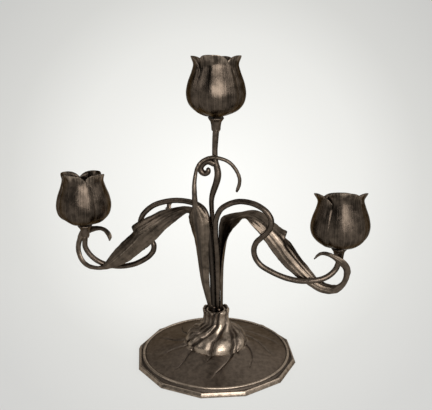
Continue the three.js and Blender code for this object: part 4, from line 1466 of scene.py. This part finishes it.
@dataclass
class Leaves:
    """The two arm leaves, the front leaf with its tendril, and the brazed web."""

    web_rings: int = 18
    web_points: int = 32
    web_lean: float = 0.9
    web_slope: float = 0.18

    def right(self) -> Blade:
        """The right arm's leaf.

        Returns:
            The leaf, ready to build.
        """
        arm = [
            *((4.9, -0.5, 40, 1, 7.7, 38, 2.4), (10, -3.4, 69, 0, 9, 66, 3.2)),
            *((15.8, -5, 82.4, 0.6, 9.6, 84.5, 3.2), (19.5, -5.6, 87.5, 3.4, 10.6, 91, 2.4)),
            *((23, -6, 91.6, 10, 11, 94.2, 1.6), (28.4, -6, 97.4, 22, 10.4, 97.4, 0.4)),
            *((35.5, -5.2, 90.5, 36, 8.8, 101, -1.4), (43, -5, 82.5, 47, 7.5, 97.5, -2.6)),
            *((48.5, -5, 75.5, 55.5, 6.5, 90.5, -3.2), (54, -5, 68, 61.5, 6, 86.3, -3.4)),
            *((59.5, -5, 61, 67, 5.6, 83.4, -3.4), (62.5, -5, 57.6, 64.6, 5, 79.3, -3.4)),
            *((67, -5, 52.8, 71.5, 4, 73, -3.2), (74.5, -4.8, 46.6, 79, 3, 62.5, -2.8)),
            (82, -4.4, 40.8, 88, 2, 52.5, -2.2),
        ]
        hook = [
            *((-26.5, -4, -36.8, -19, 1.2, -30.6, -1.6), (-17.5, -4, -42, -12.5, 1, -34.2, -1.4)),
            *((-7.5, -4, -43.7, -5.5, 1, -36, -1.3), (1.5, -4, -41, 0, 0.5, -35, -1.2)),
            *((7.5, -4, -34, 3.8, 0, -31.2, -1.1), (11, -4.6, -25, 5.5, -1.5, -24.5, -1.1)),
            *((12, -6, -17, 5, -4.4, -17.5, -1), (9.5, -8, -10, 2.5, -7.6, -13, -0.9)),
            *((4.5, -9, -5.2, -1, -8.8, -9.4, -0.9), (-3.5, -9, -1.8, -7, -8, -5.6, -0.8)),
            *((-10.5, -7.6, -0.6, -12, -7.6, -4.4, -0.7), (-16, -6.2, -2, -15, -6.4, -5, -0.6)),
            *((-19.7, -5.2, -5.4, -18, -5.5, -7.2, -0.4), (-22, -5, -9.6, -20.8, -5, -10, -0.2)),
        ]
        root = gutter(-35, 57, 1.8, (0.3, -33, 6, 0.3, 58, 6, 1.9))
        places = placed(root + stations(arm), RIGHT_CUP, stations(hook))
        return Blade("right_leaf_blade", "right_leaf", places, seed=3)

    def left(self) -> Blade:
        """The left arm's leaf.

        Returns:
            The leaf, ready to build.
        """
        arm = [
            *((-8, 3.2, 40, 0.5, 9.5, 40, -2.6), (-12, 2.2, 67, -1.5, 11.5, 65, -3)),
            *((-17, 1, 82, -4.5, 13, 82, -2.8), (-23, 0.2, 91, -13, 13.5, 91.5, -1.8)),
            *((-27.5, -0.6, 95.6, -23.5, 12, 96.6, -0.4), (-31.5, -1.2, 93, -34, 9.6, 98.3, 1)),
            *((-38.5, -2.2, 86.8, -44, 8.2, 96.4, 2.2), (-47.5, -3, 79, -56, 6.8, 93.2, 3)),
            *((-58, -3.5, 67.3, -66.5, 5.6, 87.5, 3.4), (-63, -4, 62, -77, 4.6, 81.5, 3.4)),
            *((-67.5, -4, 57.8, -86.5, 4.2, 74.4, 3.4), (-71, -4, 55, -84.6, 3.6, 70.4, 3.4)),
            *((-78.5, -4, 48.6, -92.5, 2.6, 62, 3.2), (-87, -3.2, 41.2, -101, 2, 53, 2.6)),
        ]
        hook = [
            *((35.5, -2, -37.5, 25.5, 1, -28.2, 1.8), (26.5, -1, -41.8, 19.5, 0.8, -36.4, 1.4)),
            *((17.5, 0.4, -44.8, 13.5, 1.2, -41.2, 1.2), (7.5, 1.6, -46.4, 7, 2, -42, 1.2)),
            *((-1, 2.2, -45.4, -0.2, 2.6, -40.2, 1.1), (-8, 3.2, -41, -4.6, 3.4, -36.5, 1.1)),
            *((-12, 4.2, -34.6, -7.2, 4.2, -31, 1.1), (-13.6, 4.8, -26, -8, 4.8, -24.8, 1.1)),
            *((-12.2, 6, -17, -6.6, 6, -18.2, 1), (-9.6, 7, -9.5, -3.4, 7, -12.8, 1)),
            *((-5, 7.8, -4.6, 1.6, 7.8, -9.8, 0.9), (3, 8, -2.4, 6.8, 7.8, -7.4, 0.8)),
            *((11, 7.4, -1.2, 12, 7.2, -5.8, 0.7), (18.5, 6, -1.8, 16.8, 6, -6.2, 0.6)),
            *((24.3, 4.6, -5.2, 20.4, 4.6, -9.2, 0.5), (26.6, 3.6, -9.8, 22.6, 3.6, -12.4, 0.4)),
            (24.9, 2.8, -13.9, 23.7, 2.8, -14.4, 0.2),
        ]
        root = gutter(154, 70, -1.7, (1, 156, 6, 1, 71, 6, -2))
        places = placed(root + stations(arm), LEFT_CUP, stations(hook))
        return Blade("left_leaf_blade", "left_leaf", places, seed=8)

    def front(self) -> FrontLeaf:
        """The front leaf and its tendril.

        Returns:
            The leaf, ready to build.
        """
        blade = [
            *((-13.4, -1, 24, -4.2, -7, 26, 3.2), (-16, -3, 43, -4.4, -8, 43, 4)),
            *((-17.8, -4, 59, -4.8, -9, 58, 4.2), (-19.8, -5, 72, -4.6, -9.2, 73, 4.4)),
            *((-22.4, -6, 82, -3.8, -9.6, 82, 4.6), (-24.4, -6.6, 91, -3.8, -10, 90, 4.4)),
            *((-24.2, -7.4, 96.5, -6.4, -10.2, 98, 3.4), (-22, -8.8, 100.2, -9.8, -10.8, 103, 2.4)),
            (-20, -10.6, 105.5, -13.6, -11.6, 108, 1.6),
        ]
        tendril = [
            *((-17, -12, 112), (-17.3, -12, 120.5), (-17.5, -11.2, 128), (-17, -10, 135), (-16, -9, 141)),
            *((-13.5, -7.6, 146.5), (-9.5, -6.2, 150), (-5, -5.3, 152), (0.2, -4.9, 152.6)),
            *((5.5, -4.6, 151.8), (11, -4, 150), (15.2, -3.6, 147.2), (18.7, -3, 143), (21.4, -2.6, 138.2)),
            *((22.9, -2.2, 133), (22.6, -2, 127.8), (21.2, -2, 123.5), (20, -2, 120.2)),
        ]
        places = placed(gutter(163, 250, 1.8, (2, 172, 5, 0.6, 246, 6, 2.2)) + stations(blade))
        return FrontLeaf(
            "front_leaf_blade", "front_leaf", places, 5, crease=0.5, fold=0.3, tendril=raised(tendril)
        )

    def web(self) -> None:
        """Builds and dresses the web of brazing metal under the left stem's arch."""
        low, high = (np.array(corner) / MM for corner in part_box("stem_bridge"))
        middle, half = (low + high) / 2, (high - low) / 2
        turns = np.linspace(0, 2 * math.pi, self.web_points, endpoint=False)
        rings = []
        for rise in np.linspace(-1.1, 1.1, self.web_rings):
            waist = 0.72 + 0.42 * abs(rise) ** 3
            x = middle[0] + half[0] * waist * np.cos(turns)
            y = middle[1] + self.web_lean * rise + half[1] * 0.8 * waist * np.sin(turns)
            z = middle[2] + half[2] * rise - self.web_slope * (x - middle[0]) * (1 - rise) / 2
            rings.append(np.column_stack([x, y, z]))
        skin = Skin("braze_web", np.asarray(rings), wear_and_shade_marks(np.full((self.web_rings, self.web_points), 0.3)))
        dress(skin.build(), Look.LEAVES, "worn_bronze", "stem_bridge")

    def build(self) -> None:
        """Builds and dresses the leaves and the web."""
        for blade in (self.right(), self.left(), self.front()):
            blade.build()
        self.web()


# The ferrule


@dataclass(frozen=True)
class Beads:
    """Beads of brazing metal or solder round a ring at a joint."""

    name: str
    count: int
    radius: float
    size: float
    centre: Point
    spread: float
    seed: int

    def build(self) -> None:
        """Builds and dresses the beads."""
        values = {
            "Beads": self.count,
            "Radius": self.radius * MM,
            "Bead size": self.size * MM,
            "Centre": tuple(c * MM for c in raised([self.centre])[0]),
            "Spread": self.spread * MM,
            "Seed": self.seed,
        }
        source = linked(self.name, bpy.data.meshes.new(self.name))
        dress(BeadTool.run(source, Look.BRAZE, values), Look.BRAZE, "socket_brass")


@dataclass
class Bundle:
    """The ferrule in the collar, and the solder and brazing metal of the joints."""

    outer: float = 10.3
    bottom: float = -16.7
    top: float = -2.4
    stud_hole: float = 3.3
    slot_hole: float = 1.2
    slack: float = 1.2
    segments: int = 72
    edge_wear: tuple[float, ...] = (0, 0, 0, 0.4, 0.9, 0.8, 0.2, 0, 0, 0, 0, 0)

    def build(self) -> None:
        """Builds and dresses the ferrule and the beads."""
        top, bore, web = self.top, LEAF_ROOT_RADIUS + self.slack, ROOT_LEVEL - BUNDLE_GAP
        profile = [
            *((self.stud_hole, self.bottom), (self.outer, self.bottom), (self.outer, top)),
            *((self.outer - 0.4, top + 0.7), (bore + 1.5, top + 1.35), (bore + 0.7, top + 1.5)),
            *((bore + 0.1, top + 1.1), (bore, top), (bore, web), (self.slot_hole, web)),
            *((self.slot_hole, web - 2), (self.stud_hole, web - 2)),
        ]
        rings = turned_rings(profile, (0, 0, COLLAR_TOP), self.segments)
        wear = np.tile(np.array(self.edge_wear)[:, None], (1, self.segments))
        skin = Skin("ferrule_ring", rings, wear_and_shade_marks(wear), Ends.JOINED, sharp_angle=65)
        dress(skin.build(), Look.LEAVES, "worn_bronze", "bundle_ferrule")
        top_foot, right_foot, left_foot = (
            (x, y, z + RECEPTACLE_FOOT - 0.3) for x, y, z in (TOP_CUP, RIGHT_CUP, LEFT_CUP)
        )
        for beads in (
            Beads("collar_solder", 16, 8.4, 1.3, (0.0, 0.0, -3.4), 0.4, 4),
            Beads("bundle_solder", 8, 4.6, 1.4, (0.0, 0.0, 1.5), 2.5, 9),
            Beads("loop_braze", 7, 1.7, 0.9, (-0.6, -2.6, 152.2), 1.3, 12),
            Beads("top_braze", 9, 3.1, 0.9, top_foot, 0.4, 14),
            Beads("right_braze", 9, 3.1, 1.0, right_foot, 0.5, 15),
            Beads("left_braze", 9, 3.1, 1.0, left_foot, 0.5, 16),
        ):
            beads.build()


# Tulips


@dataclass
class Tulip:
    """One tulip cup: receptacle, candle cup and four lapped petals."""

    label: str
    foot: Point
    height: float
    turn: float
    seed: int
    front_rise: float = 0.0
    back_drop: float = 0.0
    lip: float = 0.9
    tip_drop: float = 0.25
    petals: int = 4
    half_angle: float = 62.0
    root_half_angle: float = 43.0
    thickness: float = 1.3
    lap_gap: float = 0.2
    feather: float = 0.95
    ridge: float = 0.8
    ridge_reach: float = 0.45
    rib: float = 0.07
    ribs: int = 5
    rim_swell: float = 1.1
    tip_power: float = 2.7
    side_power: float = 40.0
    top_power: float = 60.0
    full_lap: float = 0.12
    flare_drop: float = 0.4
    tip_play: float = 1.0
    root_share: float = 0.055
    seat_drop: float = 1.6
    front: float = -75.0
    tilt_start: float = 0.35
    across: int = 46
    along: int = 54
    profile: Table = (
        *((10.5, 0.085), (18.5, 0.165), (23.8, 0.275), (25.6, 0.41)),
        *((24.2, 0.565), (20.7, 0.735), (19.1, 0.855), (22.6, 0.985)),
    )
    root_radius: float = 5.0
    neck: Table = ((4.1, -10.0), (4.4, -6.0), (5.185, -2.2))
    flutes: int = 8
    flute_depth: float = 0.035
    receptacle_segments: int = 60
    socket_wall: float = 1.2
    socket_bore: float = 11.3
    socket_depth: float = 22.0
    socket_floor: float = 2.2
    socket_lift: float = 9.4
    stub: float = 3.0
    cup_segments: int = 72

    @property
    def base(self) -> Point:
        """The tulip's foot in the frame."""
        return raised([self.foot])[0]

    @property
    def seat(self) -> float:
        """The height of the receptacle's top above the tulip's foot."""
        return self.root_share * self.height - self.seat_drop

    def petal(self) -> bpy.types.Object:
        """One petal about the Z axis at angle 0, in the tulip's own place.

        Returns:
            The petal's object, with a share of its height stored at each point.
        """
        rows = ((self.root_radius, self.root_share), *self.profile)
        outline = Route([(r, 0.0, share * self.height) for r, share in rows])
        across, side = section(self.across, 0.5)
        off_ridge = np.minimum(1, np.sqrt((across / self.ridge_reach) ** 2 + 0.004)) ** 1.15
        rings, wear, hollow, tips, lifts = [], [], [], [], []
        for v in 1 - (1 - np.linspace(0, 1, self.along)) ** 1.25:
            t = v * (1 - self.tip_drop * np.abs(across) ** self.tip_power)
            spot, slope = outline.at(t), outline.tangents(t)
            opening = smooth(t, self.full_lap, 0.4)
            half_angle = self.root_half_angle + (self.half_angle - self.root_half_angle) * opening
            lap = (self.thickness + self.lap_gap) * half_angle / (360 / self.petals)
            lap = lap * np.minimum(1, t / self.full_lap) * across
            rib = self.rib * np.cos(across * self.ribs * math.pi) * smooth(t, 0.05, 0.3)
            rib = rib * (1 - smooth(t, 0.9, 1))
            keel = self.ridge * (1 - off_ridge) * smooth(t, 0.1, 0.3)
            outermost = np.maximum(np.abs(across) ** self.side_power, v**self.top_power)
            round_off = np.sqrt(np.maximum(0, 1 - outermost))
            swell = 1 + self.rim_swell * smooth(v, 0.7, 0.97) * (side < 0)
            thick = self.thickness * swell * round_off / 2
            flare = self.lip * smooth(v, 0.84, 1.0) ** 2 * (1 - 0.5 * across**2)
            feather = self.feather * smooth(across, 0.74, 1.0) * (side > 0) * (1 - smooth(v, 0.9, 1.0))
            lift = lap + rib + keel + side * thick - feather
            radius = spot[:, 0] + slope[:, 2] * lift + flare
            level = spot[:, 2] - slope[:, 0] * lift - self.flare_drop * flare
            rings.append(ring(radius, np.radians(half_angle * across), level))
            inside = (side < 0) * (1 - smooth(t, 0.75, 1))
            rim = 0.5 * smooth(v, 0.8, 1.0)
            wear.append(np.clip(rim + 0.12 * (1 - np.abs(across)) * (side > 0) - 0.6 * inside, 0, 1))
            # Darkened on the inner face and at the petal's foot.
            hollow.append(np.clip(inside * 0.8 + (1 - smooth(t, 0.0, 0.08)) * 0.7, 0, 1))
            tips.append(smooth(t, 0.6, 1.0))
            lifts.append(smooth(t, self.tilt_start, 1.0))
        marks = {WEAR: wear, HOLLOW_AND_SHADE: hollow, TIP: tips, LIFT: lifts}
        marks = {name: np.asarray(rows) for name, rows in marks.items()}
        return Skin(f"{self.label}_petals", np.asarray(rings), marks).build()

    def build_petals(self) -> None:
        """Sets the petals round the tulip and dresses them."""
        values = {
            "Petals": self.petals,
            "Turn": math.radians(self.turn),
            "Foot": tuple(MM * c for c in self.base),
            "Tip play": self.tip_play * MM,
            "Front": polar(1.0, self.front, 0.0),
            "Front rise": self.front_rise * MM,
            "Back drop": self.back_drop * MM,
            "Seed": self.seed,
        }
        whorl = WhorlTool.run(self.petal(), Look.PETALS, values)
        dress(whorl, Look.PETALS, "bronze", *(f"{self.label}_petal_{i + 1}" for i in range(self.petals)))

    def build_receptacle(self) -> None:
        """Builds and dresses the swelling where the stem meets the petals."""
        seat, foot, segments = self.seat, RECEPTACLE_FOOT, self.receptacle_segments
        outer = Route([*self.neck, (7.2, seat - 0.5), (6.9, seat + 0.3), (4.6, seat)])
        inner = [(1.5, seat), (1.5, -4.2), (3.2, -4.2), (3.2, foot)]
        profile = [(3.2, foot), (3.8, foot - 0.25), *outer.at(np.linspace(0, 1, 36)), *inner]
        rings = turned_rings(profile, self.base, segments)
        around = np.linspace(0, 2 * math.pi, segments, endpoint=False)
        swell = 1 + self.flute_depth * np.cos(self.flutes * around)
        rings[3:32, :, :2] = (rings[3:32, :, :2] - self.base[:2]) * swell[:, None] + self.base[:2]
        crest = np.zeros(rings.shape[:2])
        # The top of the swell under the petals and the bore inside are darkened.
        crest[28:] = -0.5
        skin = Skin(f"{self.label}_receptacle_swell", rings, wear_and_shade_marks(crest), Ends.JOINED)
        dress(skin.build(), Look.STEMS, "bronze", f"{self.label}_receptacle")

    def build_cup(self) -> None:
        """Builds and dresses the plain round cup that holds the candle."""
        seat, stub, lift, bore = self.seat + 0.3, self.stub, self.socket_lift, self.socket_bore
        outer, floor = bore + self.socket_wall, lift + self.socket_floor
        rim = floor + self.socket_depth
        profile = [
            *((0.02, seat), (stub, seat), (stub, lift - 0.6), (stub + 0.6, lift), (outer - 0.8, lift)),
            *((outer, lift + 0.8), (outer, rim - 1.9), (outer + 0.6, rim - 1.2), (outer + 0.9, rim - 0.5)),
            *((outer + 0.55, rim), (bore + 0.3, rim), (bore, rim - 0.3), (bore, floor + 0.4)),
            *((bore - 0.4, floor), (0.02, floor)),
        ]
        rings = turned_rings(profile, self.base, self.cup_segments)
        skin = Skin(f"{self.label}_socket", rings, {}, sharp_angle=40)
        dress(skin.build(), Look.BRASS, "socket_brass", f"{self.label}_candle_cup")

    def build(self) -> None:
        """Builds and dresses the whole tulip."""
        self.build_receptacle()
        self.build_cup()
        self.build_petals()


# What stays as the frame has it


@dataclass
class Underside:
    """The felt and the tie hardware, which keep the frame's own shapes."""

    looks: tuple[tuple[str, Look], ...] = (
        ("base_felt", Look.FELT),
        ("tie_stud", Look.STEEL),
        ("tie_washer", Look.STEEL),
        ("tie_nut", Look.STEEL),
    )

    def build(self) -> None:
        """Gives them their finishes."""
        for node, look in self.looks:
            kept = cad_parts[node]
            kept.data.materials.clear()
            kept.data.materials.append(look.material)
            log.info("%s: dressed", node)


# The studio


def turned(x: Link, y: Link, degrees: float) -> tuple[Link, Link]:
    """How far a level way goes to the right and away, for a viewer who is turned by so many degrees."""
    cos, sin = math.cos(math.radians(degrees)), math.sin(math.radians(degrees))
    return x * cos + y * sin, y * cos - x * sin


def direction(azimuth: float, height: float) -> Vector:
    """The way out from the object, by radians round it from the front and up from the table."""
    level = math.cos(height)
    return Vector((math.sin(azimuth) * level, -math.cos(azimuth) * level, math.sin(height)))


def aimed(name: str, data: bpy.types.ID, place: Sequence[float], ahead: Vector) -> bpy.types.Object:
    """Sets up a lamp or a camera.

    Args:
        name: The object's name.
        data: The lamp or camera.
        place: Where it stands, in metres.
        ahead: Where it looks.

    Returns:
        The object.
    """
    made = linked(name, data)
    made.location = place
    made.rotation_euler = ahead.to_track_quat("-Z", "Y").to_euler()
    return made


@dataclass(frozen=True)
class Lamp:
    """A soft oval lamp that looks at the object. Azimuths are degrees to the right of the camera."""

    name: str
    azimuth: float
    height: float
    size: tuple[float, float]
    aim_height: float
    glow: float
    distance: float = 1.3

    def build(self, camera_turn: float) -> None:
        """Hangs the lamp.

        Args:
            camera_turn: The camera's own azimuth, in degrees.
        """
        light = bpy.data.lights.new(self.name, "AREA")
        light.shape = "ELLIPSE"
        light.size, light.size_y = self.size
        light.energy = self.glow * math.pi * (math.pi / 4 * self.size[0] * self.size[1])
        way = direction(math.radians(self.azimuth + camera_turn), math.radians(self.height))
        aimed(self.name, light, Vector((0, 0, self.aim_height)) + way * self.distance, -way)


@dataclass(frozen=True)
class Paper(Finish):
    """Pale paper with a painted pool of light fixed on it in ovals: whitest where the object stands and
    greyer outwards.
    """

    turn: float
    pitch: float
    eye_height: float
    eye_distance: float = 0.7
    nearest: float = 0.3
    half_view: float = 0.36
    glow: float = 0.8
    lit: float = 0.3
    reach: float = 2.5
    rise: float = 0.1
    # Tones of the painted pool of light, from the object's spot outwards.
    light_pool_tones: tuple[tuple[float, Colour], ...] = (
        (0.0, (1.04, 1.04, 1.01)),
        (0.2, (0.87, 0.87, 0.842)),
        (0.29, (0.72, 0.72, 0.697)),
        (0.4, (0.63, 0.63, 0.615)),
        (0.5, (0.6, 0.6, 0.59)),
        (0.75, (0.64, 0.64, 0.63)),
        (1.0, (0.68, 0.68, 0.67)),
    )

    def surface(self, graph: Graph, place: Link) -> Link:
        """Builds the shader.

        Args:
            graph: The material's tree.
            place: Object coordinates, in metres.

        Returns:
            The shader.
        """
        x, y, _ = graph.parts(place)
        right, away = turned(x, y, self.turn)
        away = graph.math("MAXIMUM", away + self.eye_distance, self.nearest)
        cos, sin = math.cos(self.pitch), math.sin(self.pitch)
        depth = away * cos + self.eye_height * sin
        sideways = right / depth / self.half_view
        down = (self.eye_height * cos - away * sin) / depth / self.half_view + self.rise
        edge = graph.math("SQRT", sideways * sideways + down * down) / self.reach
        shade = graph.add("ShaderNodeValToRGB", {0: graph.math("MINIMUM", edge, 1.0)}, stops=self.light_pool_tones)
        paper = graph.add("ShaderNodeBsdfDiffuse", {"Color": graph.vector("SCALE", shade, self.lit)})
        rays = graph.add("ShaderNodeLightPath")
        seen = graph.math("MAXIMUM", rays.out("Is Camera Ray"), rays.out("Is Glossy Ray"))
        seen = graph.math("MAXIMUM", seen, rays.out("Is Transmission Ray"))
        glow = graph.add("ShaderNodeEmission", {"Color": shade, "Strength": seen * self.glow})
        return graph.add("ShaderNodeAddShader", {0: paper, 1: glow})


@dataclass
class Studio:
    """Floor, light and camera."""

    camera_place: Point = (0.1812, -0.6761, 0.390)
    camera_turn: float = 15.0
    camera_pitch: float = 0.3194
    lens: float = 65.83
    sensor: float = 36.0
    clip_end: float = 60.0
    floor_size: float = 9.0
    pale: Colour = (0.6, 0.6, 0.59)
    dim: Colour = (0.03, 0.03, 0.03)
    dim_way: tuple[float, float] = (0.6, 0.8)
    dim_sides: tuple[float, float] = (-0.5, 0.35)
    dim_foot: tuple[float, float] = (0.05, 0.2)
    dim_top: tuple[float, float] = (0.5, 0.9)
    lamps: tuple[Lamp, ...] = (
        Lamp("front_box", 12.0, 20.0, (1.28, 0.88), 0.14, 5.3),
        Lamp("right_box", 72.0, 32.0, (0.7, 0.8), 0.08, 1.7),
        Lamp("left_box", -78.0, 27.0, (0.5, 0.4), 0.1, 2.6),
    )

    def camera(self) -> None:
        """Sets up the camera."""
        lens = bpy.data.cameras.new("camera")
        lens.lens, lens.sensor_width, lens.clip_end = self.lens, self.sensor, self.clip_end
        ahead = -direction(math.radians(self.camera_turn), self.camera_pitch)
        bpy.context.scene.camera = aimed("camera", lens, self.camera_place, ahead)

    def floor(self) -> None:
        """Lays the pale floor, with its painted pool of light."""
        mesh, s = bpy.data.meshes.new("floor"), self.floor_size
        mesh.from_pydata([(-s, -s, 0), (s, -s, 0), (s, s, 0), (-s, s, 0)], [], [(0, 1, 2, 3)])
        paper = Paper("floor_paper", self.camera_turn, self.camera_pitch, self.camera_place[2])
        mesh.materials.append(paper.material())
        floor = linked("floor", mesh)

    def room(self) -> None:
        """Lights the room: pale behind and above the object, dim on the near left."""
        world = bpy.data.worlds.new("room")
        world.use_nodes = True
        graph = Graph(world.node_tree)
        x, y, z = graph.parts(graph.add("ShaderNodeTexCoord", output="Generated"))
        right, away = turned(x, y, self.camera_turn)
        dim = graph.step(away * -self.dim_way[0] - right * self.dim_way[1], *self.dim_sides)
        dim = dim * graph.step(z, *self.dim_foot) * (1.0 - graph.step(z, *self.dim_top))
        shade = graph.colour(dim, opaque(self.pale), opaque(self.dim))
        back = graph.add("ShaderNodeBackground", {"Color": shade, "Strength": 1.0})
        graph.add("ShaderNodeOutputWorld", {"Surface": back})
        bpy.context.scene.world = world

    def build(self) -> None:
        """Sets up everything that isn't part of the object."""
        self.camera()
        self.floor()
        self.room()
        for lamp in self.lamps:
            lamp.build(self.camera_turn)
        bpy.context.scene.view_settings.view_transform = "Standard"


def main() -> None:
    """Builds the studio and the candelabra piece by piece."""
    logging.basicConfig(level=logging.INFO, format="%(name)s: %(message)s")
    tulips = (
        Tulip("top", TOP_CUP, 56.0, -86.0, 2, front_rise=5.2, back_drop=1.8, lip=-0.6),
        Tulip("left", LEFT_CUP, 52.0, -12.0, 6, front_rise=6.5, lip=-1.2),
        Tulip("right", RIGHT_CUP, 52.0, -78.0, 11, front_rise=9.7, back_drop=4.2, lip=0.3, tip_drop=0.19),
    )
    for part in (Studio(), Foot(), Bundle(), Stems(), Leaves(), *tulips, Underside()):
        part.build()


if __name__ == "__main__":
    main()
